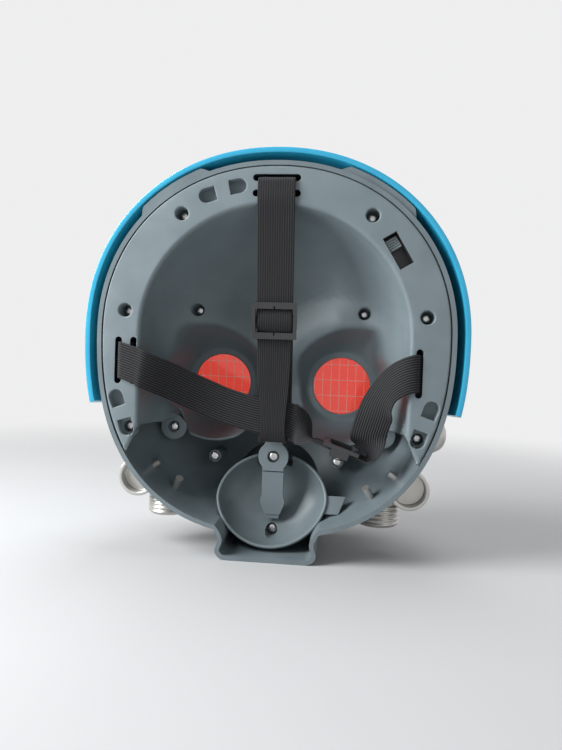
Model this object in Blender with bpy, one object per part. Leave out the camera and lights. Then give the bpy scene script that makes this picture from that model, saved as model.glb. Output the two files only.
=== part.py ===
"""Role-play breathing mask in grey, blue and silver plastic, standing on its chin.

The wearer's side faces -Y and the front faces +Y. The origin is the middle of the chin's flat base.
Depth is measured forward from the flat rim that the face rests on, so y = RIM_Y + depth. Metres.
"""
import itertools
import math

import bmesh
import bpy
from mathutils import Matrix, Vector

# Common clearances and walls
SEAT_GAP = 0.0003          # between pieces that rest on each other
RUN_GAP = 0.0004           # between pieces that slide in each other
SHELL_WALL = 0.0024
LINER_WALL = 0.002
OVERCUT = 0.006            # how far a cutter runs past the face that it opens

# Front shell, as an outline at the rim that shrinks towards the front
SHELL_HALF_WIDTH = 0.0967
SHELL_UP = 0.0935
SHELL_DOWN = 0.108
SHELL_DEPTH = 0.080
SHELL_RISE = 0.014         # from the chin's base to the dome's lowest edge
APEX_DROP = 0.009          # of the dome's front below the middle of its rim
RIM_CENTRE_Z = SHELL_RISE + SHELL_DOWN
APEX_Z = RIM_CENTRE_Z - APEX_DROP
UP_POWER = 2.1
DOWN_POWER = 2.35
DEPTH_POWER = 2.2

# Chin block and snout
CHIN_LENGTH = 0.076
CHIN_BASE_HALF = 0.0225
CHIN_FLARE_HALF = 0.0273
CHIN_FLARE_Z = 0.0055
CHIN_NECK_HALF = 0.0258
CHIN_NECK_Z = 0.011
CHIN_TOP_HALF = 0.033
CHIN_TOP_Z = 0.024
SNOUT_RADIUS = 0.0295
SNOUT_Z = 0.031
SNOUT_REAR = 0.020
SNOUT_PROUD = 0.004
SNOUT_DEPTH = SHELL_DEPTH + SNOUT_PROUD
GRILLE_HOLE_RADIUS = 0.013

# Rear liner
LINER_GAP = 0.0005         # seam between the liner and the shell's lip
RIM_SIDE = 0.0242          # width of the flat rim at the temples, over the crown and at the jaw
RIM_CROWN = 0.0235
RIM_JAW = 0.018
BOWL_ROOM = 0.022          # between the bowl's floor and the dome's front
BOWL_HALF_WIDTH = SHELL_HALF_WIDTH - RIM_SIDE
BOWL_UP = SHELL_UP - RIM_CROWN
BOWL_DOWN = SHELL_DOWN - RIM_JAW
BOWL_DEPTH = SHELL_DEPTH - BOWL_ROOM
BOWL_UP_POWER = 2.0
BOWL_DOWN_POWER = 6.0
BOWL_EDGE_DROP = 0.062     # of the bowl's lower edge below the rim's middle
BOWL_EDGE_Z = RIM_CENTRE_Z - BOWL_EDGE_DROP
BOWL_EDGE_RISE = 0.40      # rise of that edge for each unit of depth
RIM_TIP_DROP = 0.070
RIM_TIP_INSET = 0.0162
RIM_BEND_DROP = 0.051
RIM_TIP_Z = RIM_CENTRE_Z - RIM_TIP_DROP
RIM_TIP_X = SHELL_HALF_WIDTH - RIM_TIP_INSET
RIM_BEND_Z = RIM_CENTRE_Z - RIM_BEND_DROP

# Eyes
EYE_X = 0.0378
EYE_DROP = 0.0275
EYE_Z = RIM_CENTRE_Z - EYE_DROP
EYE_CUP_RADIUS = 0.0317
EYE_FLOOR_RADIUS = 0.027
EYE_CUP_REAR = 0.010
PAD_PROUD = 0.0015
PAD_DEPTH = SHELL_DEPTH + PAD_PROUD
EYE_FLOOR_ROOM = 0.0195
EYE_TAPER = 0.028
EYE_FLOOR_DEPTH = PAD_DEPTH - EYE_FLOOR_ROOM
EYE_TAPER_START = EYE_FLOOR_DEPTH - EYE_TAPER
EYE_HOLE_RADIUS = 0.0177
LENS_RADIUS = 0.021
LENS_THICKNESS = 0.002
PAD_RADIUS = 0.036
BEZEL_TUBE_RADIUS = 0.0222
BEZEL_TUBE_WALL = 0.0026
BEZEL_FLANGE_RADIUS = 0.031
BEZEL_FLANGE = 0.0034

# Screws and the sleeves and posts that they join
SCREW_HEAD_RADIUS = 0.0028
SCREW_HEAD = 0.0018
SHANK_RADIUS = 0.0011
SHANK_LENGTH = 0.009
BORE_RADIUS = 0.0035
BORE_WALL = 0.0014
SLEEVE_DEPTH = 0.0085
POST_RADIUS = 0.0038
PILOT_RADIUS = SHANK_RADIUS + SEAT_GAP
SIDE_SCREW_INSET = 0.0154
SIDE_SCREW_RISE = 0.0118
WELL_SCREW_INSET = 0.0179
WELL_SCREW_DROP = 0.0522
LUG_REACH = 0.0051         # from an eye cup's wall to its lug's screw
LUG_ANGLE = math.radians(-47.9)
LUG_SET_BACK = 0.0052
LUG_RADIUS = 0.0080
CHEEK_REACH = 0.0128       # from below an eye cup to the cheek's post
UPPER_SCREW = (0.5295 * SHELL_HALF_WIDTH, RIM_CENTRE_Z + 0.6909 * SHELL_UP)
SIDE_SCREW = (SHELL_HALF_WIDTH - SIDE_SCREW_INSET, RIM_CENTRE_Z + SIDE_SCREW_RISE)
WELL_SCREW = (SHELL_HALF_WIDTH - WELL_SCREW_INSET, RIM_CENTRE_Z - WELL_SCREW_DROP)
BOWL_SCREW = (0.6897 * BOWL_HALF_WIDTH, RIM_CENTRE_Z + 0.2314 * BOWL_UP)
LUG_SCREW = (EYE_X + (EYE_CUP_RADIUS + LUG_REACH) * math.cos(LUG_ANGLE),
             EYE_Z + (EYE_CUP_RADIUS + LUG_REACH) * math.sin(LUG_ANGLE))
LUG_DEPTH = EYE_TAPER_START + LUG_SET_BACK
CHEEK_SCREW = (0.979 * EYE_X, EYE_Z - EYE_CUP_RADIUS - CHEEK_REACH)
CHEEK_POST_DEPTH = SHELL_DEPTH / 2

# D-shaped wells in the rim
WELL_WIDTH = 0.0074
WELL_LENGTH = 0.0090
WELL_DEPTH = 0.0050
WELL_WALL = 0.0014
SIDE_WELL_INSET = 0.0119
SIDE_WELL_DROP = 0.0364
OUTER_CROWN_INSET = 0.0190
INNER_CROWN_INSET = 0.0140
SIDE_WELL = (SHELL_HALF_WIDTH - SIDE_WELL_INSET, RIM_CENTRE_Z - SIDE_WELL_DROP)
CROWN_WELLS = ((-0.3868 * SHELL_HALF_WIDTH, RIM_CENTRE_Z + SHELL_UP - OUTER_CROWN_INSET),
               (-0.2161 * SHELL_HALF_WIDTH, RIM_CENTRE_Z + SHELL_UP - INNER_CROWN_INSET))

# Straps, slots and sliders
STRAP_WIDTH = 0.020
STRAP_THICKNESS = 0.0011
SLOT_LENGTH = 0.0246
SLOT_WIDTH = 0.0034
SLOT_PITCH = 0.0083
TOP_SLOT_INSET = 0.0095
LEFT_SLOT_INSET = 0.0123
LEFT_SLOT_DROP = 0.0156
RIGHT_SLOT_INSET = 0.0187
RIGHT_SLOT_DROP = 0.0176
TOP_SLOTS_Z = (RIM_CENTRE_Z + SHELL_UP - TOP_SLOT_INSET, RIM_CENTRE_Z + SHELL_UP - TOP_SLOT_INSET - SLOT_PITCH)
LEFT_SLOTS_X = (LEFT_SLOT_INSET - SHELL_HALF_WIDTH, LEFT_SLOT_INSET + SLOT_PITCH - SHELL_HALF_WIDTH)
LEFT_SLOT_Z = RIM_CENTRE_Z - LEFT_SLOT_DROP
RIGHT_SLOT_X = SHELL_HALF_WIDTH - RIGHT_SLOT_INSET
RIGHT_SLOT_Z = RIM_CENTRE_Z - RIGHT_SLOT_DROP
BUCKLE_WIDTH = 0.0246
BUCKLE_LENGTH = 0.0202
BUCKLE_BAR = 0.0036
BUCKLE_PLATE = 0.0022
TOP_BUCKLE_SHARE = 0.45    # of the strap's straight run, from its upper end
SIDE_BUCKLE_SHARE = 0.58

# Slide switch
SWITCH_X = 0.6712 * SHELL_HALF_WIDTH
SWITCH_Z = RIM_CENTRE_Z + 0.4963 * SHELL_UP
SWITCH_LEAN = math.radians(31)
SWITCH_WELL_LENGTH = 0.0184
SWITCH_WELL_WIDTH = 0.0078
SWITCH_BODY_DEPTH = 0.0072
SWITCH_BODY_WALL = 0.0012
KNOB_LENGTH = 0.0064
KNOB_DEPTH = 0.0042
KNOB_END_GAP = 0.0012
BOARD_LENGTH = 0.030
BOARD_WIDTH = 0.010
BOARD_THICKNESS = 0.0016

# Mouth cup, its lever and the trigger
CUP_DEPTH = 0.024          # depth of the middle of its rim
CUP_Z = 0.0295
CUP_TILT = math.radians(29.5)
CUP_HALF_WIDTH = 0.0302
CUP_HALF_HEIGHT = 0.0265
CUP_NARROWING = 0.08       # of its width from the middle to the lower end
CUP_BOWL = 0.018
CUP_WALL = 0.0018
CUP_SCREW_Z = 0.0100
CUP_SCREW_DEPTH = 0.0345
CUP_EAR = 0.0085
CUP_EAR_UP = 0.0035
CUP_NOTCH_HALF = 0.0105    # gap in its upper rim for the lever's post
CUP_NOTCH_DEPTH = 0.0060
LEVER_DEPTH = 0.0270       # rear face of the lever's head
LEVER_HEAD_THICKNESS = 0.0045
LEVER_HEAD_Z = 0.0532
LEVER_HEAD_RADIUS = 0.0088
LEVER_TAB_HALF = 0.0050
LEVER_TAB_Z = 0.0643
LEVER_BEND_Z = 0.0445
LEVER_PLATE = 0.0024
LEVER_LENGTH = 0.0280
LEVER_HALF = 0.0062
LEVER_SWELL_HALF = 0.0072
LEVER_END_HALF = 0.0036
LEVER_LEAN = math.radians(5)
PLUNGER_DOWN = 0.0205      # from the bend, along the lever
PLUNGER_RADIUS = 0.0022
PLUNGER_BOSS = 0.0055
TRIGGER_WIDTH = 0.012
TRIGGER_HEIGHT = 0.010
TRIGGER_DEPTH = 0.011

# Speaker, battery box and cells
SPEAKER_RADIUS = 0.0125
SPEAKER_DEPTH = 0.0085
MAGNET_RADIUS = 0.0075
MAGNET_DEPTH = 0.005
CELL_RADIUS = 0.0058
CELL_LENGTH = 0.0054
CELL_COUNT = 2
BATTERY_WALL = 0.0010
BATTERY_ANGLE = math.radians(68)

# Hood over the crown
HOOD_GAP = 0.0044
HOOD_FRONT_GAP = 0.0008
HOOD_WALL = 0.0028
HOOD_END_ANGLE = math.radians(-21.5)
HOOD_END_DEPTH = 0.5 * SHELL_DEPTH
HOOD_BROW_DEPTH = 0.75 * SHELL_DEPTH
LUG_ANGLES = (40, 62, 118, 140)
HOOD_LUG_HALF_ANGLE = math.radians(2.2)
HOOD_LUG_LENGTH = 0.006

# Silver fittings along the jaw
KNOB_FITTING_ANGLE = math.radians(-29.98)
KNOB_FITTING_DEPTH = 0.375 * SHELL_DEPTH
KNOB_FITTING_PROUD = 2e-05
KNOB_FITTING_RADIUS = 0.0108
KNOB_FITTING_HEIGHT = 0.0115
KNOB_FITTING_AXIS = (0.84, 0.52, -0.10)
DISC_ANGLE = math.radians(-46.28)
DISC_DEPTH = 0.1875 * SHELL_DEPTH
DISC_PROUD = 0.00448
DISC_RADIUS = 0.0112
DISC_HEIGHT = 0.012
DISC_WALL = 0.0022
CANISTER_ANGLE = math.radians(-58.83)
CANISTER_DEPTH = 0.35 * SHELL_DEPTH
CANISTER_PROUD = 0.01198
CANISTER_RADIUS = 0.0112
CANISTER_HEIGHT = 0.020
CANISTER_RIB = 0.0008
CANISTER_RIBS = 8
PEG_RADIUS = 0.0022
PEG_REACH = 0.0045

# Muzzle cap
CAP_RADIUS = 0.0275
CAP_THICKNESS = 0.0042
CAP_SLOT_WIDTH = 0.0024
CAP_SLOT_COUNT = 5

RIM_Y = -CHIN_LENGTH / 2
FLAT_LIMIT = math.radians(0.01)
START_STEP = math.radians(7.3)
STARTS = itertools.count(1)
SHELL_SEGMENTS = 48
SHELL_RINGS = 8
CUP_SEGMENTS = 32
CUP_RINGS = 6
GREY = ((0.18, 0.22, 0.24, 1), 0.45, 0.0)
BLUE = ((0.012, 0.26, 0.46, 1), 0.25, 0.0)
SILVER = ((0.62, 0.60, 0.56, 1), 0.32, 0.85)
BLACK = ((0.018, 0.018, 0.020, 1), 0.7, 0.0)
DARK = ((0.06, 0.065, 0.07, 1), 0.5, 0.0)
RED = ((0.55, 0.03, 0.02, 1), 0.08, 0.0)
STEEL = ((0.55, 0.55, 0.56, 1), 0.3, 1.0)
GREEN = ((0.02, 0.16, 0.06, 1), 0.5, 0.0)


def at(x, depth, z):
    return Vector((x, RIM_Y + depth, z))


for old in list(bpy.data.objects):
    bpy.data.objects.remove(old)
PARTS = bpy.data.collections.new("breathing_mask")
TOOLS = bpy.data.collections.new("cutters")
bpy.context.scene.collection.children.link(PARTS)
bpy.context.scene.collection.children.link(TOOLS)
TOOLS.hide_render = True
MATERIALS = {}


def material(look):
    """One Principled material for each look."""
    if look not in MATERIALS:
        made = bpy.data.materials.new(f"plastic_{len(MATERIALS)}")
        made.use_nodes = True
        shader = made.node_tree.nodes["Principled BSDF"]
        shader.inputs["Base Color"].default_value = look[0]
        shader.inputs["Roughness"].default_value = look[1]
        shader.inputs["Metallic"].default_value = look[2]
        MATERIALS[look] = made
    return MATERIALS[look]


def as_object(name, mesh_data, look=GREY, origin=None):
    """Turn a bmesh into an object of the mask, with its origin at a joint where one is given."""
    bmesh.ops.recalc_face_normals(mesh_data, faces=mesh_data.faces)
    bmesh.ops.connect_verts_nonplanar(mesh_data, angle_limit=FLAT_LIMIT, faces=mesh_data.faces)
    if origin is not None:
        bmesh.ops.translate(mesh_data, verts=mesh_data.verts, vec=-origin)
    mesh = bpy.data.meshes.new(name)
    mesh_data.to_mesh(mesh)
    mesh_data.free()
    made = bpy.data.objects.new(name, mesh)
    made.data.materials.append(material(look))
    if origin is not None:
        made.location = origin
    PARTS.objects.link(made)
    return made


def hidden_group(name, tools):
    """Move helper solids into a hidden collection of their own."""
    group = bpy.data.collections.new(name)
    TOOLS.children.link(group)
    group.hide_render = True
    for tool in tools:
        PARTS.objects.unlink(tool)
        group.objects.link(tool)
        tool.hide_render = True
        tool.display_type = "WIRE"
    return group


def combine(target, tools, operation):
    """Join, cut or trim a piece with a group of other solids in one step."""
    step = target.modifiers.new(operation.lower(), "BOOLEAN")
    step.operation = operation
    step.solver = "EXACT"
    step.operand_type = "COLLECTION"
    step.collection = hidden_group(f"{target.name}_{len(target.modifiers)}", tools)


def join(target, *tools):
    combine(target, tools, "UNION")


def cut(target, *tools):
    combine(target, tools, "DIFFERENCE")


def loft(rings):
    """A closed solid through rings of equally many points, capped at both ends."""
    solid = bmesh.new()
    loops = [[solid.verts.new(point) for point in ring] for ring in rings]
    count = len(rings[0])
    for near, far in zip(loops, loops[1:]):
        for i in range(count):
            j = (i + 1) % count
            solid.faces.new((near[i], near[j], far[j], far[i]))
    solid.faces.new(loops[0])
    solid.faces.new(reversed(loops[-1]))
    return solid


def smooth_path(points, steps):
    """Points along a smooth curve through the given ones."""
    points = [Vector(point) for point in points]
    ends = [2 * points[0] - points[1]] + points + [2 * points[-1] - points[-2]]
    path = []
    for a, b, c, d in zip(ends, ends[1:], ends[2:], ends[3:]):
        for i in range(steps):
            t = i / steps
            path.append(0.5 * (2 * b + (c - a) * t + (2 * a - 5 * b + 4 * c - d) * t ** 2
                               + (3 * b - a - 3 * c + d) * t ** 3))
    return path + [points[-1]]


def facing(axis):
    """Rotation that turns local Z to an axis."""
    return Vector(axis).normalized().to_track_quat("Z", "Y").to_matrix().to_4x4()


def turned(profile, base, axis=(0, 1, 0), segments=24):
    """A solid of revolution: (radius, height) points that start and end on the axis.

    Each one starts at another angle, so that no two share an edge where they are joined or cut.
    """
    solid = bmesh.new()
    points = [solid.verts.new((radius, 0, height)) for radius, height in profile]
    edges = [solid.edges.new(pair) for pair in zip(points, points[1:])]
    bmesh.ops.spin(solid, geom=points + edges, cent=(0, 0, 0), axis=(0, 0, 1), angle=math.tau, steps=segments)
    bmesh.ops.remove_doubles(solid, verts=solid.verts, dist=1e-7)
    bmesh.ops.dissolve_limit(solid, angle_limit=FLAT_LIMIT, verts=solid.verts, edges=solid.edges)
    start = Matrix.Rotation(next(STARTS) * START_STEP, 4, "Z")
    bmesh.ops.transform(solid, matrix=Matrix.Translation(base) @ facing(axis) @ start, verts=solid.verts)
    return solid


def ring_turned(profile, base, axis=(0, 1, 0), segments=32):
    """A ring of revolution from a closed (radius, height) outline that stays off the axis."""
    return turned(list(profile) + [profile[0]], base, axis, segments)


def rod(start, end, radius, segments=12):
    """A plain round rod between two points."""
    length = (end - start).length
    return turned([(0, 0), (radius, 0), (radius, length), (0, length)], start, end - start, segments)


def block(centre, size, across=(1, 0, 0), up=(0, 0, 1)):
    """A box with its sides along across, up and their normal."""
    solid = bmesh.new()
    bmesh.ops.create_cube(solid, size=1)
    bmesh.ops.scale(solid, vec=size, verts=solid.verts)
    x_axis = Vector(across).normalized()
    z_axis = (Vector(up) - x_axis * Vector(up).dot(x_axis)).normalized()
    y_axis = z_axis.cross(x_axis)
    turn = Matrix((x_axis, y_axis, z_axis)).transposed().to_4x4()
    bmesh.ops.transform(solid, matrix=Matrix.Translation(centre) @ turn, verts=solid.verts)
    return solid


def prism(outline, start, end):
    """An outline of (x, z) points, run along depth."""
    return loft([[at(x, depth, z) for x, z in outline] for depth in (start, end)])


def outline_reach(angle, half_width, up, down, powers=(UP_POWER, DOWN_POWER)):
    """Distance from the middle of a superellipse outline to its edge."""
    rise, power = (up, powers[0]) if math.sin(angle) >= 0 else (down, powers[1])
    return (abs(math.cos(angle) / half_width) ** power + abs(math.sin(angle) / rise) ** power) ** (-1 / power)


def dome_share(depth, full_depth):
    """How much of the rim outline is left at a depth."""
    return max(0.0, 1 - max(0.0, depth / full_depth) ** DEPTH_POWER) ** (1 / DEPTH_POWER)


def dome_point(angle, depth, offset=0.0):
    """A point of the front shell's outer surface, or of a surface at an offset from it."""
    reach = outline_reach(angle, SHELL_HALF_WIDTH + offset, SHELL_UP + offset, SHELL_DOWN + offset)
    share = dome_share(depth, SHELL_DEPTH + offset)
    middle = RIM_CENTRE_Z + (APEX_Z - RIM_CENTRE_Z) * max(0.0, depth) / SHELL_DEPTH
    return at(share * reach * math.cos(angle), depth, middle + share * reach * math.sin(angle))


def jaw_place(sign, angle, depth, proud):
    """A place on the right or left side of the jaw."""
    place = dome_point(angle, depth, proud)
    place.x *= sign
    return place


def dome(half_width, up, down, full_depth, rear, powers=(UP_POWER, DOWN_POWER)):
    """A closed bowl shape: its outline at the rim shrinks towards the front."""
    depths = [rear, OVERCUT / 2] if rear < 0 else [0.0]
    depths += [full_depth * math.sin(math.radians(86) * i / SHELL_RINGS) for i in range(1, SHELL_RINGS + 1)]
    rings = []
    for depth in depths:
        share = dome_share(depth, full_depth)
        middle = RIM_CENTRE_Z + (APEX_Z - RIM_CENTRE_Z) * max(0.0, depth) / SHELL_DEPTH
        ring = []
        for i in range(SHELL_SEGMENTS):
            angle = math.tau * (i + 0.5) / SHELL_SEGMENTS
            reach = share * outline_reach(angle, half_width, up, down, powers)
            ring.append(at(reach * math.cos(angle), depth, middle + reach * math.sin(angle)))
        rings.append(ring)
    return loft(rings)


def shell_dome(offset, rear=0.0):
    return dome(SHELL_HALF_WIDTH + offset, SHELL_UP + offset, SHELL_DOWN + offset, SHELL_DEPTH + offset, rear)


def bowl_dome(offset, rear=0.0):
    return dome(BOWL_HALF_WIDTH + offset, BOWL_UP + offset, BOWL_DOWN + offset, BOWL_DEPTH + offset, rear,
                (BOWL_UP_POWER, BOWL_DOWN_POWER))


def bowl_depth(x, z):
    """Depth of the bowl's inner surface at a point of the rim plane."""
    low, high = 0.0, BOWL_DEPTH
    for _ in range(40):
        depth = (low + high) / 2
        middle = RIM_CENTRE_Z + (APEX_Z - RIM_CENTRE_Z) * depth / SHELL_DEPTH
        reach = outline_reach(math.atan2(z - middle, x), BOWL_HALF_WIDTH, BOWL_UP, BOWL_DOWN,
                              (BOWL_UP_POWER, BOWL_DOWN_POWER))
        inside = math.hypot(x, z - middle) < reach * dome_share(depth, BOWL_DEPTH)
        low, high = (depth, high) if inside else (low, depth)
    return low


# Frame of the tilted mouth cup: its rim's plane faces the wearer and up
CUP_MIDDLE = at(0, CUP_DEPTH, CUP_Z)
CUP_UP = Vector((0, math.sin(CUP_TILT), math.cos(CUP_TILT)))
CUP_OUT = Vector((0, -math.cos(CUP_TILT), math.sin(CUP_TILT)))
LEVER_AXIS = at(0, LEVER_DEPTH + LEVER_PLATE / 2, LEVER_BEND_Z)
LEVER_DOWN = Vector((0, math.sin(LEVER_LEAN), -math.cos(LEVER_LEAN)))
LEVER_BACK = Vector((0, -math.cos(LEVER_LEAN), -math.sin(LEVER_LEAN)))
PLUNGER_REAR = LEVER_AXIS + PLUNGER_DOWN * LEVER_DOWN - (LEVER_PLATE / 2 + SEAT_GAP) * LEVER_BACK
SNOUT_WALL_DEPTH = SNOUT_DEPTH - SHELL_WALL
LENS_REAR = EYE_FLOOR_DEPTH + LINER_WALL + SEAT_GAP
BEZEL_REAR = LENS_REAR + LENS_THICKNESS + SEAT_GAP


def blind_post(rear, length, hole):
    """A round post with a blind pilot hole in its rear end."""
    profile = [(0, hole), (PILOT_RADIUS, hole), (PILOT_RADIUS, 0), (POST_RADIUS, 0), (POST_RADIUS, length),
               (0, length)]
    return turned(profile, rear, segments=12)


class Joint:
    """A screw, the sleeve that its head sits in and the post that it bites in."""

    def __init__(self, name, x, z, floor):
        self.name = name
        self.x = x
        self.z = z
        self.floor = floor

    def sleeve(self, rear):
        outer = BORE_RADIUS + BORE_WALL
        return rod(at(self.x, rear, self.z), at(self.x, self.floor + LINER_WALL, self.z), outer)

    def bore(self, rear):
        """Counterbore for the head and the clearance hole below it."""
        head = self.floor - rear
        profile = [(0, 0), (BORE_RADIUS, 0), (BORE_RADIUS, head), (PILOT_RADIUS, head),
                   (PILOT_RADIUS, head + OVERCUT), (0, head + OVERCUT)]
        return as_object(f"{self.name}_bore", turned(profile, at(self.x, rear, self.z), segments=14))

    def post(self, end):
        """A post with a blind hole for the screw, from behind the sleeve to a depth in the shell's wall."""
        start = self.floor + LINER_WALL + SEAT_GAP
        return blind_post(at(self.x, start, self.z), end - start, self.floor + SHANK_LENGTH + SEAT_GAP - start)

    def screw(self):
        seat = self.floor - SEAT_GAP
        profile = [(0, 0), (SCREW_HEAD_RADIUS, 0), (SCREW_HEAD_RADIUS, SCREW_HEAD), (SHANK_RADIUS, SCREW_HEAD),
                   (SHANK_RADIUS, SCREW_HEAD + SHANK_LENGTH), (0, SCREW_HEAD + SHANK_LENGTH)]
        return as_object(self.name, turned(profile, at(self.x, seat - SCREW_HEAD, self.z), segments=8), STEEL)


SIDES = (("left", -1), ("right", 1))
RIM_JOINTS = []
BOWL_JOINTS = []
LUG_JOINTS = []
for side, sign in SIDES:
    RIM_JOINTS.append(Joint(f"upper_screw_{side}", sign * UPPER_SCREW[0], UPPER_SCREW[1], SLEEVE_DEPTH))
    RIM_JOINTS.append(Joint(f"side_screw_{side}", sign * SIDE_SCREW[0], SIDE_SCREW[1], SLEEVE_DEPTH))
    RIM_JOINTS.append(Joint(f"well_screw_{side}", sign * WELL_SCREW[0], WELL_SCREW[1], SLEEVE_DEPTH))
    BOWL_JOINTS.append(Joint(f"bowl_screw_{side}", sign * BOWL_SCREW[0], BOWL_SCREW[1],
                             bowl_depth(*BOWL_SCREW) + SLEEVE_DEPTH))
    LUG_JOINTS.append(Joint(f"eye_screw_{side}", sign * LUG_SCREW[0], LUG_SCREW[1], LUG_DEPTH))
LINER_JOINTS = RIM_JOINTS + BOWL_JOINTS + LUG_JOINTS
CUP_JOINT = Joint("cup_screw", 0, CUP_SCREW_Z, CUP_SCREW_DEPTH)
HEAD_JOINT = Joint("lever_screw", 0, LEVER_HEAD_Z, LEVER_DEPTH + LEVER_HEAD_THICKNESS - LINER_WALL)


def chin_outline(inset):
    """Half bell outline of the chin, mirrored: flat base, flare, neck, then up into the snout."""
    half = [(0, inset), (CHIN_BASE_HALF - inset, inset), (CHIN_FLARE_HALF - inset, CHIN_FLARE_Z),
            (CHIN_NECK_HALF - inset, CHIN_NECK_Z), (CHIN_TOP_HALF - inset, CHIN_TOP_Z - inset)]
    curve = [(point.x, point.z) for point in smooth_path([(x, 0, z) for x, z in half[1:]], 4)]
    return curve + [(-x, z) for x, z in reversed(curve)]


def post_within(name, solid):
    """A post that ends inside the shell's wall, so that it never shows in front."""
    post = as_object(name, solid)
    combine(post, [as_object(f"{name}_limit", shell_dome(-SHELL_WALL / 2, -OVERCUT))], "INTERSECT")
    return post


def front_shell():
    """Face dome with goggle pads, snout and chin, open to the rear, with a post behind each screw."""
    shell = as_object("front_shell", shell_dome(0.0, -OVERCUT / 2))
    outer = [as_object("chin_outer", prism(chin_outline(0.0), -OVERCUT / 3, CHIN_LENGTH)),
             as_object("snout_outer", rod(at(0, SNOUT_REAR, SNOUT_Z), at(0, SNOUT_DEPTH, SNOUT_Z), SNOUT_RADIUS, 32))]
    inner = [as_object("dome_inner", shell_dome(-SHELL_WALL, -OVERCUT)),
             as_object("chin_inner", prism(chin_outline(SHELL_WALL), -2 * OVERCUT, CHIN_LENGTH - SHELL_WALL)),
             as_object("snout_inner", rod(at(0, SNOUT_REAR - OVERCUT, SNOUT_Z), at(0, SNOUT_WALL_DEPTH, SNOUT_Z),
                                          SNOUT_RADIUS - SHELL_WALL, 32))]
    for side, sign in SIDES:
        eye = sign * EYE_X
        outer.append(as_object(f"pad_{side}", rod(at(eye, SNOUT_REAR, EYE_Z), at(eye, PAD_DEPTH, EYE_Z),
                                                  PAD_RADIUS, 32)))
        inner.append(as_object(f"pad_inner_{side}", rod(at(eye, SNOUT_REAR - OVERCUT, EYE_Z),
                                                        at(eye, PAD_DEPTH - SHELL_WALL, EYE_Z),
                                                        PAD_RADIUS - SHELL_WALL, 32)))
    for degrees in LUG_ANGLES:
        outer.append(as_object(f"hood_lug_{degrees}", hood_lug(math.radians(degrees))))
    posts = [as_object("cup_screw_post", CUP_JOINT.post(SNOUT_DEPTH - SHELL_WALL / 2)),
             as_object("lever_screw_post", HEAD_JOINT.post(SNOUT_DEPTH - SHELL_WALL / 2))]
    width = 4 * SHELL_HALF_WIDTH
    holes = [as_object("grille_hole", rod(at(0, SNOUT_DEPTH - OVERCUT, SNOUT_Z),
                                          at(0, SNOUT_DEPTH + OVERCUT, SNOUT_Z), GRILLE_HOLE_RADIUS, 28)),
             as_object("rim_plane", block(at(0, -2 * OVERCUT, RIM_CENTRE_Z), (width, 4 * OVERCUT, width)))]
    for joint in LINER_JOINTS:
        posts.append(post_within(f"{joint.name}_post", joint.post(SHELL_DEPTH)))
    for side, sign in SIDES:
        post = blind_post(at(sign * CHEEK_SCREW[0], CHEEK_POST_DEPTH, CHEEK_SCREW[1]),
                          SHELL_DEPTH - CHEEK_POST_DEPTH, SHANK_LENGTH + SEAT_GAP)
        posts.append(post_within(f"cheek_post_{side}", post))
        holes.append(as_object(f"bezel_hole_{side}", rod(at(sign * EYE_X, PAD_DEPTH - OVERCUT, EYE_Z),
                                                         at(sign * EYE_X, PAD_DEPTH + OVERCUT, EYE_Z),
                                                         BEZEL_TUBE_RADIUS + RUN_GAP, 28)))
    join(shell, *outer)
    cut(shell, *inner)
    join(shell, *posts)
    cut(shell, *holes)
    return shell


def hood_gap(depth, front):
    """Gap between shell and hood, closing towards the hood's front edge."""
    return HOOD_GAP + (HOOD_FRONT_GAP - HOOD_GAP) * depth / front


def hood_front(angle):
    """Depth of the hood's front edge: deepest over the brow, shorter at the two ends."""
    share = min(1.0, max(0.0, (math.sin(angle) - 0.2) / 0.6))
    return HOOD_END_DEPTH + (HOOD_BROW_DEPTH - HOOD_END_DEPTH) * share * share * (3 - 2 * share)


def hood_lug(angle):
    """A small spacer on the shell's edge that carries the hood."""
    rings = []
    for turn in (angle - HOOD_LUG_HALF_ANGLE, angle, angle + HOOD_LUG_HALF_ANGLE):
        top = hood_gap(HOOD_LUG_LENGTH, hood_front(turn)) - SEAT_GAP
        rings.append([dome_point(turn, depth, offset) for depth, offset in
                      ((SHELL_WALL / 2, -SHELL_WALL / 2), (HOOD_LUG_LENGTH, -SHELL_WALL / 2),
                       (HOOD_LUG_LENGTH, top), (SHELL_WALL / 2, top))])
    return loft(rings)


def hood():
    """Blue moulding over the crown, from ear to ear, standing off the shell on its lugs."""
    sections = 40
    steps = 6
    rings = []
    for i in range(sections + 1):
        angle = HOOD_END_ANGLE + (math.pi - 2 * HOOD_END_ANGLE) * i / sections
        front = hood_front(angle)
        depths = [front * j / steps for j in range(steps + 1)]
        inner = [dome_point(angle, depth, hood_gap(depth, front)) for depth in depths]
        outer = [dome_point(angle, depth, hood_gap(depth, front) + HOOD_WALL) for depth in reversed(depths)]
        rings.append(inner + outer)
    return as_object("hood", loft(rings), BLUE)


def d_outline(x, z, lean, grow):
    """A D: a half circle on a short straight part."""
    radius = WELL_WIDTH / 2 + grow
    straight = WELL_LENGTH - WELL_WIDTH / 2
    points = [(-radius, -grow), (radius, -grow)]
    points += [(radius * math.cos(math.pi * i / 8), straight + radius * math.sin(math.pi * i / 8))
               for i in range(9)]
    centre = WELL_LENGTH / 2
    return [(x + a * math.cos(lean) - (b - centre) * math.sin(lean),
             z + a * math.sin(lean) + (b - centre) * math.cos(lean)) for a, b in points]


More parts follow.
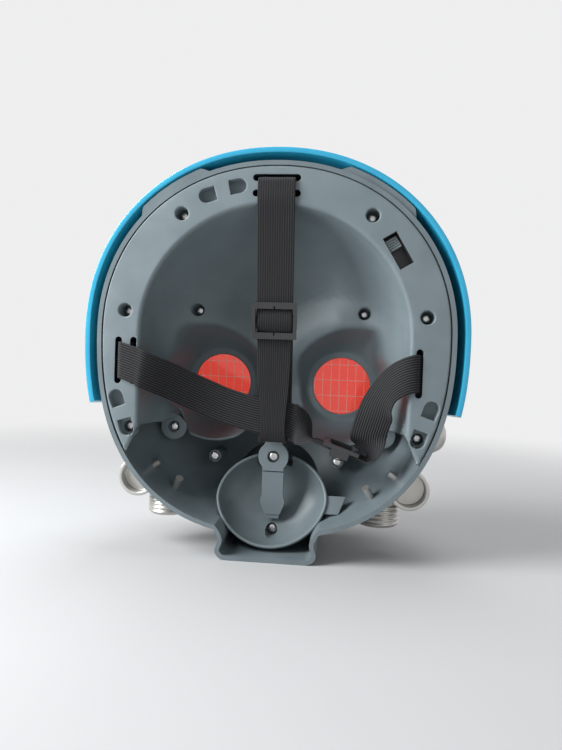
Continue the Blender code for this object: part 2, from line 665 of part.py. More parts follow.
def d_wells():
    """Name, place, lean and depth of the D-shaped wells, the lower two with a screw in them."""
    wells = []
    for side, sign in SIDES:
        wells.append((f"side_well_{side}", sign * SIDE_WELL[0], SIDE_WELL[1], sign * -0.35, WELL_DEPTH))
        wells.append((f"screw_well_{side}", sign * WELL_SCREW[0], WELL_SCREW[1], math.pi + sign * -0.3,
                      SLEEVE_DEPTH))
    wells.append(("crown_well_0", *CROWN_WELLS[0], math.pi / 2 + 0.3, WELL_DEPTH))
    wells.append(("crown_well_1", *CROWN_WELLS[1], -math.pi / 2 + 0.2, WELL_DEPTH))
    return wells


def eye_cup_profile(grow):
    """Radius over depth of one eye cup, from its mouth to its floor."""
    return [(0, EYE_CUP_REAR), (EYE_CUP_RADIUS + grow, EYE_CUP_REAR), (EYE_CUP_RADIUS + grow, EYE_TAPER_START),
            (EYE_FLOOR_RADIUS + grow, EYE_FLOOR_DEPTH + grow), (0, EYE_FLOOR_DEPTH + grow)]


def switch_point(along, across, depth):
    """A place in the slide switch, along its travel and across it."""
    down = Vector((math.sin(SWITCH_LEAN), 0, -math.cos(SWITCH_LEAN)))
    side = Vector((math.cos(SWITCH_LEAN), 0, math.sin(SWITCH_LEAN)))
    return at(SWITCH_X, depth, SWITCH_Z) + along * down + across * side


SWITCH_DOWN = Vector((math.sin(SWITCH_LEAN), 0, -math.cos(SWITCH_LEAN)))
SWITCH_SIDE = Vector((math.cos(SWITCH_LEAN), 0, math.sin(SWITCH_LEAN)))


def switch_block(along, depth, size):
    """A box in the slide switch's own directions."""
    return block(switch_point(along, 0, depth), size, across=SWITCH_SIDE, up=SWITCH_DOWN)


def slot(name, x, z, width, height):
    middle = LINER_WALL / 2
    return as_object(name, block(at(x, middle, z), (width, LINER_WALL + 2 * OVERCUT, height)))


def rear_liner():
    """Flat rim, forehead bowl and eye cups in one moulding, with its sleeves, wells and strap slots."""
    edge = SHELL_WALL + LINER_GAP
    outline = []
    for i in range(SHELL_SEGMENTS):
        angle = math.tau * (i + 0.5) / SHELL_SEGMENTS
        reach = outline_reach(angle, SHELL_HALF_WIDTH - edge, SHELL_UP - edge, SHELL_DOWN - edge)
        outline.append((reach * math.cos(angle), RIM_CENTRE_Z + reach * math.sin(angle)))
    liner = as_object("rear_liner", prism(outline, 0.0, LINER_WALL))
    lowest = RIM_CENTRE_Z - SHELL_DOWN - OVERCUT
    opening = [(-BOWL_HALF_WIDTH, RIM_CENTRE_Z), (-BOWL_HALF_WIDTH, RIM_BEND_Z), (-RIM_TIP_X, RIM_TIP_Z),
               (-RIM_TIP_X, lowest), (RIM_TIP_X, lowest), (RIM_TIP_X, RIM_TIP_Z), (BOWL_HALF_WIDTH, RIM_BEND_Z),
               (BOWL_HALF_WIDTH, RIM_CENTRE_Z)]
    cut(liner, as_object("face_opening", prism(opening, -OVERCUT, OVERCUT)))
    bowl = as_object("bowl_outer", bowl_dome(LINER_WALL))
    slope = Vector((0, 1, BOWL_EDGE_RISE)).normalized()
    below = slope.cross(Vector((1, 0, 0)))
    size = 2 * SHELL_UP
    middle = at(0, 0, BOWL_EDGE_Z) + below * (size / 2 if below.z < 0 else -size / 2)
    cut(bowl, as_object("below_bowl", block(middle, (2 * size, 2 * size, size), up=below)))
    outer = [bowl]
    inner = [as_object("bowl_inner", bowl_dome(0.0, -OVERCUT))]
    for side, sign in SIDES:
        eye = at(sign * EYE_X, 0, EYE_Z)
        outer.append(as_object(f"eye_cup_outer_{side}", turned(eye_cup_profile(LINER_WALL), eye, segments=28)))
        inner.append(as_object(f"eye_cup_inner_{side}", turned(eye_cup_profile(0.0), eye, segments=28)))
        inner.append(as_object(f"eye_hole_{side}", rod(at(eye.x, EYE_FLOOR_DEPTH - OVERCUT, EYE_Z),
                                                       at(eye.x, EYE_FLOOR_DEPTH + OVERCUT, EYE_Z),
                                                       EYE_HOLE_RADIUS, 28)))
    for joint in LUG_JOINTS:
        lug = rod(at(joint.x, joint.floor - SCREW_HEAD, joint.z), at(joint.x, joint.floor + LINER_WALL, joint.z),
                  LUG_RADIUS, 20)
        outer.append(as_object(f"{joint.name}_lug", lug))
        inner.append(joint.bore(joint.floor - SLEEVE_DEPTH))
    for joint in RIM_JOINTS:
        outer.append(as_object(f"{joint.name}_sleeve", joint.sleeve(LINER_WALL / 2)))
        inner.append(joint.bore(-OVERCUT))
    for joint in BOWL_JOINTS:
        outer.append(as_object(f"{joint.name}_sleeve", joint.sleeve(joint.floor - 2 * SLEEVE_DEPTH)))
        inner.append(joint.bore(joint.floor - 2 * SLEEVE_DEPTH))
    for name, x, z, lean, depth in d_wells():
        outer.append(as_object(f"{name}_outer", prism(d_outline(x, z, lean, WELL_WALL), LINER_WALL / 3,
                                                      depth + LINER_WALL)))
        inner.append(as_object(f"{name}_inner", prism(d_outline(x, z, lean, 0.0), -OVERCUT, depth)))
    for i, z in enumerate(TOP_SLOTS_Z):
        inner.append(slot(f"top_slot_{i}", 0, z, SLOT_LENGTH, SLOT_WIDTH))
    for i, x in enumerate(LEFT_SLOTS_X):
        inner.append(slot(f"left_slot_{i}", x, LEFT_SLOT_Z, SLOT_WIDTH, SLOT_LENGTH))
    inner.append(slot("right_slot", RIGHT_SLOT_X, RIGHT_SLOT_Z, SLOT_WIDTH, SLOT_LENGTH))
    window = switch_block(0, 0, (SWITCH_WELL_WIDTH, 4 * OVERCUT, SWITCH_WELL_LENGTH))
    inner.append(as_object("switch_window", window))
    join(liner, *outer)
    cut(liner, *inner)
    return liner


def eyes():
    """A clear lens in each eye hole and the goggle bezel that holds it."""
    for side, sign in SIDES:
        eye = at(sign * EYE_X, 0, EYE_Z)
        lens = rod(eye + Vector((0, LENS_REAR, 0)), eye + Vector((0, LENS_REAR + LENS_THICKNESS, 0)),
                   LENS_RADIUS, 28)
        as_object(f"eye_lens_{side}", lens, RED)
        inner = BEZEL_TUBE_RADIUS - BEZEL_TUBE_WALL
        seat = PAD_DEPTH + SEAT_GAP
        front = seat + BEZEL_FLANGE
        outline = [(inner, BEZEL_REAR), (BEZEL_TUBE_RADIUS, BEZEL_REAR), (BEZEL_TUBE_RADIUS, seat),
                   (BEZEL_FLANGE_RADIUS, seat), (BEZEL_FLANGE_RADIUS, seat + BEZEL_FLANGE / 2),
                   (BEZEL_FLANGE_RADIUS - BEZEL_FLANGE / 2, front), (inner + BEZEL_TUBE_WALL, front)]
        as_object(f"lens_bezel_{side}", ring_turned(outline, eye, segments=28), SILVER)


def cup_solid(grow, reach):
    """Oval bowl of the mouth cup, from past its rim to its floor."""
    rings = []
    for i in range(CUP_RINGS):
        turn = math.radians(84) * i / (CUP_RINGS - 1)
        share = math.cos(turn)
        down = (CUP_BOWL + grow) * math.sin(turn)
        ring = []
        for j in range(CUP_SEGMENTS):
            around = math.tau * (j + 0.5) / CUP_SEGMENTS
            narrow = 1 + CUP_NARROWING * min(0.0, math.sin(around))
            ring.append(CUP_MIDDLE + (CUP_HALF_WIDTH + grow) * narrow * share * math.cos(around) * Vector((1, 0, 0))
                        + (CUP_HALF_HEIGHT + grow) * share * math.sin(around) * CUP_UP - down * CUP_OUT)
        rings.append(ring)
    if reach > 0:
        rings[0] = [point + reach * CUP_OUT for point in rings[0]]
    return loft(rings)


def mouth_cup():
    """Oval cup before the mouth, with a gap for the lever, an ear, a screw sleeve and a trigger boss."""
    cup = as_object("mouth_cup", cup_solid(0.0, 0.0))
    boss_end = CUP_DEPTH + CUP_BOWL + PLUNGER_BOSS
    ear = CUP_MIDDLE + CUP_HALF_WIDTH * Vector((1, 0, 0)) + CUP_EAR_UP * CUP_UP - CUP_WALL * CUP_OUT
    notch = CUP_MIDDLE + CUP_HALF_HEIGHT * CUP_UP
    join(cup, as_object("cup_screw_sleeve", CUP_JOINT.sleeve(CUP_JOINT.floor - SLEEVE_DEPTH)),
         as_object("trigger_boss", rod(PLUNGER_REAR, at(0, boss_end, PLUNGER_REAR.z), 2 * PLUNGER_RADIUS)),
         as_object("cup_ear", block(ear, (2 * CUP_EAR, CUP_WALL, CUP_EAR), up=CUP_UP)))
    cut(cup, as_object("cup_hollow", cup_solid(-CUP_WALL, OVERCUT)),
        as_object("lever_notch", block(notch, (2 * CUP_NOTCH_HALF, 3 * CUP_NOTCH_DEPTH, 2 * CUP_NOTCH_DEPTH),
                                       up=CUP_UP)),
        CUP_JOINT.bore(CUP_JOINT.floor - SLEEVE_DEPTH),
        as_object("plunger_hole", rod(PLUNGER_REAR, at(0, boss_end + OVERCUT, PLUNGER_REAR.z),
                                      PLUNGER_RADIUS + RUN_GAP, 16)))
    return cup


def lever_outline():
    """Half outline of the lever's head, mirrored: tab, round head, neck down to the bend."""
    tab = math.asin(LEVER_TAB_HALF / LEVER_HEAD_RADIUS)
    neck = math.pi - math.asin(LEVER_HALF / LEVER_HEAD_RADIUS)
    half = [(LEVER_TAB_HALF, LEVER_TAB_Z)]
    for i in range(9):
        turn = tab + (neck - tab) * i / 8
        half.append((LEVER_HEAD_RADIUS * math.sin(turn), LEVER_HEAD_Z + LEVER_HEAD_RADIUS * math.cos(turn)))
    half.append((LEVER_HALF, LEVER_BEND_Z + SEAT_GAP))
    return half + [(-x, z) for x, z in reversed(half)]


def lever():
    """Round lever head on its screw, and the tongue below its bend that the mouth presses."""
    front = LEVER_DEPTH + LEVER_HEAD_THICKNESS
    head = as_object("lever_head", prism(lever_outline(), LEVER_DEPTH, front), GREY)
    cut(head, HEAD_JOINT.bore(LEVER_DEPTH - OVERCUT))
    half = [(LEVER_HALF, LEVER_PLATE / 2), (LEVER_HALF, 0.50 * LEVER_LENGTH), (LEVER_SWELL_HALF, 0.60 * LEVER_LENGTH),
            (LEVER_END_HALF + LEVER_PLATE / 4, 0.9 * LEVER_LENGTH), (LEVER_END_HALF, LEVER_LENGTH)]
    outline = half + [(-x, down) for x, down in reversed(half)]
    rings = [[LEVER_AXIS + Vector((x, 0, 0)) + down * LEVER_DOWN + side * LEVER_PLATE / 2 * LEVER_BACK
              for x, down in outline] for side in (-1, 1)]
    as_object("mouth_lever", loft(rings), GREY, origin=LEVER_AXIS)


def trigger():
    """Plunger that the lever pushes, and the switch that it works."""
    body_rear = CUP_DEPTH + CUP_BOWL + PLUNGER_BOSS + SEAT_GAP
    z = PLUNGER_REAR.z
    stroke = PLUNGER_DOWN * math.sin(math.radians(8))
    tip = at(0, body_rear + stroke, z)
    as_object("trigger_plunger", rod(PLUNGER_REAR, tip, PLUNGER_RADIUS), DARK, origin=PLUNGER_REAR)
    body = as_object("trigger_switch", block(at(0, body_rear + TRIGGER_DEPTH / 2, z),
                                             (TRIGGER_WIDTH, TRIGGER_DEPTH, TRIGGER_HEIGHT)), DARK)
    cut(body, as_object("trigger_bore", rod(at(0, body_rear - OVERCUT, z),
                                            at(0, body_rear + 2 * stroke + RUN_GAP, z),
                                            PLUNGER_RADIUS + RUN_GAP, 16)))


def slide_switch():
    """Switch body behind the rim's window, its ridged knob and the board that carries it."""
    rear = LINER_WALL + SEAT_GAP
    body = as_object("switch_body", switch_block(0, rear + SWITCH_BODY_DEPTH / 2,
                                                 (SWITCH_WELL_WIDTH + 2 * SWITCH_BODY_WALL, SWITCH_BODY_DEPTH,
                                                  SWITCH_WELL_LENGTH + 2 * SWITCH_BODY_WALL)), DARK)
    pocket = SWITCH_BODY_DEPTH - SWITCH_BODY_WALL
    cut(body, as_object("switch_pocket", switch_block(0, rear + (pocket - OVERCUT) / 2,
                                                      (SWITCH_WELL_WIDTH, pocket + OVERCUT, SWITCH_WELL_LENGTH))))
    start = -SWITCH_WELL_LENGTH / 2 + KNOB_END_GAP + KNOB_LENGTH / 2
    floor = rear + pocket - RUN_GAP
    knob = as_object("switch_knob", switch_block(start, floor - KNOB_DEPTH / 2,
                                                 (SWITCH_WELL_WIDTH - 2 * RUN_GAP, KNOB_DEPTH, KNOB_LENGTH)), GREY,
                     origin=switch_point(start, 0, floor))
    grooves = []
    for i in range(3):
        groove = switch_block(start + (i - 1) * KNOB_LENGTH / 3, floor - KNOB_DEPTH,
                              (SWITCH_WELL_WIDTH, KNOB_DEPTH / 4, KNOB_LENGTH / 9))
        grooves.append(as_object(f"knob_groove_{i}", groove))
    cut(knob, *grooves)
    board_rear = rear + SWITCH_BODY_DEPTH + SEAT_GAP
    as_object("circuit_board", switch_block(0, board_rear + BOARD_THICKNESS / 2,
                                            (BOARD_WIDTH, BOARD_THICKNESS, BOARD_LENGTH)), GREEN)


def battery():
    """Box with its cells side by side, behind the rim's crown."""
    rear = LINER_WALL + SEAT_GAP
    inner = 2 * CELL_RADIUS + 2 * RUN_GAP
    outer = inner + 2 * BATTERY_WALL
    radial = Vector((math.cos(BATTERY_ANGLE), 0, math.sin(BATTERY_ANGLE)))
    along = Vector((math.sin(BATTERY_ANGLE), 0, -math.cos(BATTERY_ANGLE)))
    reach = outline_reach(BATTERY_ANGLE, BOWL_HALF_WIDTH, BOWL_UP, BOWL_DOWN, (BOWL_UP_POWER, BOWL_DOWN_POWER))
    middle = at(0, rear + outer / 2, RIM_CENTRE_Z) + (reach + LINER_WALL + 2 * SEAT_GAP + outer / 2) * radial
    length = CELL_COUNT * (CELL_LENGTH + RUN_GAP) + RUN_GAP
    box = as_object("battery_box", block(middle, (length + 2 * BATTERY_WALL, outer, outer), across=along, up=radial),
                    DARK)
    open_front = Vector((0, BATTERY_WALL + OVERCUT / 2, 0))
    hollow = (length, inner + 2 * BATTERY_WALL + OVERCUT, inner)
    cut(box, as_object("battery_hollow", block(middle + open_front, hollow, across=along, up=radial)))
    for i in range(CELL_COUNT):
        start = middle + (-length / 2 + RUN_GAP + i * (CELL_LENGTH + RUN_GAP)) * along
        as_object(f"battery_cell_{i + 1}", rod(start, start + CELL_LENGTH * along, CELL_RADIUS, 20), STEEL)


def speaker():
    """Round speaker behind the grille."""
    front = SNOUT_WALL_DEPTH - SEAT_GAP
    profile = [(0, 0), (SPEAKER_RADIUS, 0), (SPEAKER_RADIUS, SPEAKER_DEPTH / 4), (MAGNET_RADIUS, SPEAKER_DEPTH / 2),
               (MAGNET_RADIUS, SPEAKER_DEPTH + MAGNET_DEPTH), (0, SPEAKER_DEPTH + MAGNET_DEPTH)]
    as_object("speaker", turned(profile, at(0, front, SNOUT_Z), (0, -1, 0), 28), DARK)


def muzzle_cap():
    """Silver cap on the snout with a slotted grille and a plug into the snout's hole."""
    seat = SNOUT_DEPTH + SEAT_GAP
    plug = GRILLE_HOLE_RADIUS - RUN_GAP
    profile = [(0, seat - SHELL_WALL), (plug, seat - SHELL_WALL), (plug, seat), (CAP_RADIUS, seat),
               (CAP_RADIUS, seat + CAP_THICKNESS / 2), (CAP_RADIUS - CAP_THICKNESS / 2, seat + CAP_THICKNESS),
               (0, seat + CAP_THICKNESS)]
    cap = as_object("muzzle_cap", turned(profile, at(0, 0, SNOUT_Z), segments=28), SILVER)
    pitch = 2 * CAP_SLOT_WIDTH
    slots = []
    for i in range(CAP_SLOT_COUNT):
        offset = (i - (CAP_SLOT_COUNT - 1) / 2) * pitch
        half = math.sqrt(plug ** 2 - offset ** 2) - CAP_SLOT_WIDTH
        slots.append(as_object(f"grille_slot_{i}", block(at(0, seat, SNOUT_Z + offset),
                                                         (2 * half, 4 * CAP_THICKNESS, CAP_SLOT_WIDTH))))
    cut(cap, *slots)


def fitting(name, profile, base, axis, peg_from, peg_to, segments, clearance=()):
    """A silver fitting shaped to the shell's side, with a peg through the shell's wall."""
    body = as_object(name, turned(profile, base, axis, segments), SILVER)
    cut(body, as_object(f"{name}_seat", shell_dome(SEAT_GAP)), *clearance)
    join(body, as_object(f"{name}_peg", rod(peg_from, peg_to, PEG_RADIUS)))
    past = peg_to + OVERCUT / 2 * (peg_to - peg_from).normalized()
    return as_object(f"{name}_hole", rod(peg_from, past, PEG_RADIUS + SEAT_GAP))


def jaw_fittings(shell):
    """Upper knob, jaw disc and ribbed canister on each side, and the shell's holes for their pegs."""
    holes = []
    for side, sign in SIDES:
        base = jaw_place(sign, KNOB_FITTING_ANGLE, KNOB_FITTING_DEPTH, KNOB_FITTING_PROUD)
        axis = Vector((sign * KNOB_FITTING_AXIS[0],) + KNOB_FITTING_AXIS[1:]).normalized()
        profile = [(0, -KNOB_FITTING_HEIGHT), (KNOB_FITTING_RADIUS, -KNOB_FITTING_HEIGHT),
                   (KNOB_FITTING_RADIUS, KNOB_FITTING_HEIGHT * 0.6), (KNOB_FITTING_RADIUS * 0.8, KNOB_FITTING_HEIGHT),
                   (0, KNOB_FITTING_HEIGHT)]
        holes.append(fitting(f"cheek_knob_{side}", profile, base, axis, base + axis * KNOB_FITTING_HEIGHT / 2,
                             base - axis * (SHELL_WALL + PEG_REACH), 24))
        base = jaw_place(sign, DISC_ANGLE, DISC_DEPTH, DISC_PROUD)
        hollow = DISC_RADIUS - DISC_WALL
        profile = [(0, DISC_HEIGHT / 2), (hollow, DISC_HEIGHT / 2), (hollow, 0), (DISC_RADIUS, 0),
                   (DISC_RADIUS, DISC_HEIGHT - DISC_WALL), (hollow, DISC_HEIGHT), (0, DISC_HEIGHT)]
        inward = Vector((-sign * 0.8, 0, 0.6))
        low = jaw_place(sign, CANISTER_ANGLE, CANISTER_DEPTH, CANISTER_PROUD)
        room = as_object(f"canister_room_{side}", rod(low - Vector((0, 0, OVERCUT)),
                                                      low + Vector((0, 0, CANISTER_HEIGHT + SHELL_WALL)),
                                                      CANISTER_RADIUS + CANISTER_RIB + 2 * SEAT_GAP, 22))
        core = base + Vector((0, DISC_HEIGHT * 0.75, 0))
        holes.append(fitting(f"jaw_disc_{side}", profile, base, (0, 1, 0), core,
                             core + inward * (DISC_RADIUS + PEG_REACH), 24, [room]))
        base = low
        profile = [(0, 0)]
        pitch = CANISTER_HEIGHT / CANISTER_RIBS
        for i in range(CANISTER_RIBS):
            profile += [(CANISTER_RADIUS, i * pitch), (CANISTER_RADIUS + CANISTER_RIB, (i + 0.5) * pitch)]
        profile += [(CANISTER_RADIUS, CANISTER_HEIGHT), (0, CANISTER_HEIGHT)]
        core = base + Vector((0, 0, CANISTER_HEIGHT * 0.4))
        inward = Vector((-sign * 0.45, -0.45, 0.77)).normalized()
        holes.append(fitting(f"jaw_canister_{side}", profile, base, (0, 0, 1), core,
                             core + inward * (CANISTER_RADIUS + 2 * PEG_REACH), 20))
    cut(shell, *holes)


def ribbon(name, stations, steps, origin=None):
    """A flat strap through stations of a centre and the direction of its width."""
    centres = smooth_path([centre for centre, _ in stations], steps)
    widths = smooth_path([Vector(width).normalized() for _, width in stations], steps)
    rings = []
    for i, (centre, width) in enumerate(zip(centres, widths)):
        ahead = centres[min(i + 1, len(centres) - 1)] - centres[max(i - 1, 0)]
        across = width.normalized() * STRAP_WIDTH / 2
        thick = ahead.cross(width).normalized() * STRAP_THICKNESS / 2
        rings.append([centre - across - thick, centre + across - thick, centre + across + thick,
                      centre - across + thick])
    return as_object(name, loft(rings), BLACK, origin)


def on_face(across, depth, up):
    """A place over the face, in shares of the shell's half width, its depth and its reach below the rim's middle."""
    return at(across * SHELL_HALF_WIDTH, depth * SHELL_DEPTH, RIM_CENTRE_Z + up * SHELL_DOWN)


# Straight runs of the two straps, on which their sliders sit
TOP_RUN_START = on_face(0, 0.07625, 0.33333)
TOP_RUN_END = on_face(0, 0.2, -0.22222)
TOP_RUN = (TOP_RUN_START - TOP_RUN_END).normalized()
TOP_RUN_BACK = Vector((0, -TOP_RUN.z, TOP_RUN.y))
TAIL_OFFSET = 0.0042
SIDE_RUN_START = on_face(0.2275, 0.225, -0.5213)
SIDE_RUN_END = on_face(0.5171, 0.225, -0.6074)
SIDE_RUN = (SIDE_RUN_END - SIDE_RUN_START).normalized()
DEPTHWISE = Vector((0, 1, 0))


def along_run(start, end, share):
    return start + (end - start) * share


def top_straps():
    """Elastic from the crown's slots down to a loop round the side strap, and its end that returns to the slider."""
    across = (1, 0, 0)
    plate = LINER_WALL + SEAT_GAP + STRAP_THICKNESS
    proud = SEAT_GAP + STRAP_THICKNESS
    outer_slot, inner_slot = TOP_SLOTS_Z
    bar = (outer_slot + inner_slot) / 2
    crown = [at(0, plate, bar - 1.2 * SLOT_WIDTH), at(0, plate, bar), at(0, LINER_WALL, outer_slot - SEAT_GAP),
             at(0, LINER_WALL / 2, outer_slot), at(0, -proud * 0.7, outer_slot - 0.4 * SLOT_WIDTH),
             at(0, -proud, bar), at(0, -proud, inner_slot - SLOT_WIDTH),
             at(0, 0.01 * SHELL_DEPTH, RIM_CENTRE_Z + 0.6684 * SHELL_UP),
             at(0, 0.04 * SHELL_DEPTH, RIM_CENTRE_Z + 0.5455 * SHELL_UP), TOP_RUN_START]
    run = [along_run(TOP_RUN_START, TOP_RUN_END, i / 3) for i in range(1, 4)]
    loop = [on_face(0, 0.215, -0.3056), on_face(0, 0.2213, -0.3889), on_face(0, 0.2263, -0.4907),
            on_face(0, 0.255, -0.5463), on_face(0, 0.2863, -0.5111), on_face(0, 0.2875, -0.4213)]
    ribbon("top_strap", [(place, across) for place in crown + run + loop], 3)
    tail = [along_run(TOP_RUN_START, TOP_RUN_END, share) - TAIL_OFFSET * TOP_RUN_BACK for share in (0.40, 0.94)]
    tail.append(on_face(0, 0.2875, -0.40556))
    ribbon("top_strap_tail", [(place, across) for place in tail], 3)


def side_strap():
    """Elastic from the left slots across the eyes, folded and turned into the side slider, up to the right slot."""
    upright = (0, 0, 1)
    lean = (0.30, 0, 0.954)
    plate = LINER_WALL + SEAT_GAP + STRAP_THICKNESS
    proud = SEAT_GAP + STRAP_THICKNESS
    outer_slot, inner_slot = LEFT_SLOTS_X
    bar = (outer_slot + inner_slot) / 2
    z = LEFT_SLOT_Z
    side = [(at(bar + 0.9 * SLOT_WIDTH, plate, z), upright), (at(bar, plate, z), upright),
            (at(outer_slot + SEAT_GAP, LINER_WALL, z), upright), (at(outer_slot, LINER_WALL / 2, z), upright),
            (at(outer_slot + 0.4 * SLOT_WIDTH, -proud * 0.7, z), upright),
            (at(bar, -proud, z - 2 * RUN_GAP), upright),
            (at(inner_slot + 0.6 * SLOT_WIDTH, -proud - SEAT_GAP, z - 0.8 * SLOT_WIDTH), (0.06, 0, 1)),
            (on_face(-0.7239, -(proud + SEAT_GAP) / SHELL_DEPTH, -0.187), (0.16, 0, 1)),
            (on_face(-0.6618, 0.0225, -0.213), (0.22, 0, 1)), (on_face(-0.5895, 0.0938, -0.2435), lean),
            (on_face(-0.5067, 0.1625, -0.2824), lean), (on_face(-0.4033, 0.2188, -0.3241), lean),
            (on_face(-0.2792, 0.2475, -0.3685), lean), (on_face(-0.1138, 0.2538, -0.4074), (0.2, 0, 1)),
            (on_face(0, 0.2538, -0.4213), (0.12, 0, 1)), (on_face(0.0879, 0.255, -0.4315), (0.12, 0, 1)),
            (on_face(0.1344, 0.255, -0.4463), (0.16, 0.02, 1)), (on_face(0.1861, 0.2425, -0.487), (0.35, 0.75, 0.7)),
            (SIDE_RUN_START, DEPTHWISE)]
    for share in (0.12, 0.4, 0.7, 1):
        side.append((along_run(SIDE_RUN_START, SIDE_RUN_END, share), DEPTHWISE))
    z = RIGHT_SLOT_Z
    side += [(on_face(0.5533, 0.2225, -0.613), DEPTHWISE), (on_face(0.577, 0.2188, -0.5944), (-0.15, 1, 0.05)),
             (on_face(0.5719, 0.2125, -0.5602), (-0.45, 0.88, 0.1)),
             (on_face(0.5584, 0.2038, -0.5185), (-0.75, 0.64, 0.2)),
             (on_face(0.5595, 0.1875, -0.4769), (-0.86, 0.42, 0.28)),
             (on_face(0.575, 0.165, -0.4167), (-0.83, 0.42, 0.37)),
             (on_face(0.5977, 0.1288, -0.3333), (-0.66, 0.50, 0.55)),
             (on_face(0.636, 0.08, -0.2546), (-0.42, 0.50, 0.76)),
             (on_face(0.6877, 0.0225, -0.2083), (-0.2, 0.2, 0.96)),
             (on_face(0.7446, -(proud + SEAT_GAP) / SHELL_DEPTH, -0.1741), (-0.06, 0, 1)),
             (at(RIGHT_SLOT_X - 0.5 * SLOT_WIDTH, -proud * 0.8, z), upright),
             (at(RIGHT_SLOT_X - SEAT_GAP / 2, LINER_WALL / 2, z), upright),
             (at(RIGHT_SLOT_X + SEAT_GAP / 2, LINER_WALL, z), upright),
             (at(RIGHT_SLOT_X + 0.9 * SLOT_WIDTH, plate, z), upright),
             (at(RIGHT_SLOT_X + 1.8 * SLOT_WIDTH, plate, z), upright)]
    ribbon("side_strap", side, 3)


def buckle(name, middle, run, width_direction, toward):
    """A slider: a flat frame on one side of its strap and a bar on the other, joined by its two ends."""
    clear = STRAP_THICKNESS / 2 + SEAT_GAP
    plate = middle + (clear + BUCKLE_PLATE / 2) * toward
    body = block(plate, (BUCKLE_WIDTH, BUCKLE_PLATE, BUCKLE_LENGTH), across=width_direction, up=run)
    frame = as_object(name, body, BLACK, origin=middle)
    window = (BUCKLE_LENGTH - 2 * BUCKLE_BAR)
    inside = STRAP_WIDTH + 2 * RUN_GAP
    cut(frame, as_object(f"{name}_window", block(plate, (inside, 4 * BUCKLE_PLATE, window),
                                                 across=width_direction, up=run)))
    rail = (BUCKLE_WIDTH - inside) / 2
    reach = 2 * clear + 2 * BUCKLE_PLATE - SEAT_GAP
    back = middle - (clear + BUCKLE_PLATE / 2) * toward
    pieces = [as_object(f"{name}_bar", block(back, (BUCKLE_WIDTH - rail, BUCKLE_PLATE * 0.8, BUCKLE_BAR),
                                             across=width_direction, up=run))]
    for end in (-1, 1):
        place = middle + end * (inside + rail) / 2 * Vector(width_direction)
        pieces.append(as_object(f"{name}_end_{end + 1}", block(place, (rail * 0.9, reach, BUCKLE_LENGTH / 2),
                                                               across=width_direction, up=run)))
    join(frame, *pieces)


def buckles():
    middle = along_run(TOP_RUN_START, TOP_RUN_END, TOP_BUCKLE_SHARE)
    buckle("top_buckle", middle, TOP_RUN, Vector((1, 0, 0)), TOP_RUN_BACK)
    up = SIDE_RUN.cross(DEPTHWISE)
    up = up if up.z > 0 else -up
    middle = along_run(SIDE_RUN_START, SIDE_RUN_END, SIDE_BUCKLE_SHARE)
    buckle("side_buckle", middle, SIDE_RUN, DEPTHWISE, up)


def cheek_screws():
    """Screws that show on the two posts inside the cheeks."""
    for side, sign in SIDES:
        Joint(f"cheek_screw_{side}", sign * CHEEK_SCREW[0], CHEEK_SCREW[1], CHEEK_POST_DEPTH).screw()


shell_piece = front_shell()
hood()
rear_liner()
eyes()
mouth_cup()
lever()
trigger()
slide_switch()
battery()
speaker()
muzzle_cap()
jaw_fittings(shell_piece)
top_straps()
side_strap()
buckles()
cheek_screws()
for joint in LINER_JOINTS + [CUP_JOINT, HEAD_JOINT]:
    joint.screw()
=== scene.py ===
import math

import bmesh
import bpy
import numpy as np
from mathutils import Matrix, Vector
from mathutils.geometry import delaunay_2d_cdt


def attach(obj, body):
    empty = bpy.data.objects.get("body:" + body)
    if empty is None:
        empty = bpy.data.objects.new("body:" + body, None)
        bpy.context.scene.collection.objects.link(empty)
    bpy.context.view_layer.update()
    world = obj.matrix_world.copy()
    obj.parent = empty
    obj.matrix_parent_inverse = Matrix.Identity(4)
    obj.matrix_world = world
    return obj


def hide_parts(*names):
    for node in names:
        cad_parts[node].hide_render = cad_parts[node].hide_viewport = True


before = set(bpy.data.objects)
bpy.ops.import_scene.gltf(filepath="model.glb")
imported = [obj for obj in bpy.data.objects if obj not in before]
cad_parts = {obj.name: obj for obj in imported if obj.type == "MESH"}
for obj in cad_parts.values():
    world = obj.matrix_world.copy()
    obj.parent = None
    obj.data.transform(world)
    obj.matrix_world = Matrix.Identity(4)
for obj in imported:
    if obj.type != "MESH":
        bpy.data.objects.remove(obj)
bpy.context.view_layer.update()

# Table, daylight and camera: a pale table top runs back into a pale wall with no edge between them. A tall
# window lights the mask from the left, and the camera stands a little to the right, at about eye height.
scene = bpy.context.scene
scene.view_settings.view_transform = "Standard"


def shader_of(name):
    """A new material and its node tree, with the shader that every finish ends in."""
    made = bpy.data.materials.new(name)
    made.use_nodes = True
    return made, made.node_tree, made.node_tree.nodes["Principled BSDF"]


def added(tree, kind, inputs=None, **settings):
    """A new shader node with its settings, and its inputs as values or as other nodes' outputs."""
    made = tree.nodes.new("ShaderNode" + kind)
    for name, value in settings.items():
        setattr(made, name, value)
    for name, value in (inputs or {}).items():
        if isinstance(value, bpy.types.NodeSocket):
            tree.links.new(value, made.inputs[name])
        else:
            made.inputs[name].default_value = value
    return made


def seen_rays(tree):
    """1 for rays that see the room: straight, mirrored or through a lens, not as light on a surface."""
    ray = added(tree, "LightPath").outputs
    either = added(tree, "Math", {0: ray["Is Camera Ray"], 1: ray["Is Transmission Ray"]},
                   operation="MAXIMUM")
    seen = added(tree, "Math", {0: either.outputs[0], 1: ray["Is Glossy Ray"]}, operation="MAXIMUM")
    direct = added(tree, "Math", {0: ray["Diffuse Depth"], 1: 0.5}, operation="LESS_THAN")
    return added(tree, "Math", {0: seen.outputs[0], 1: direct.outputs[0]}, operation="MULTIPLY").outputs[0]


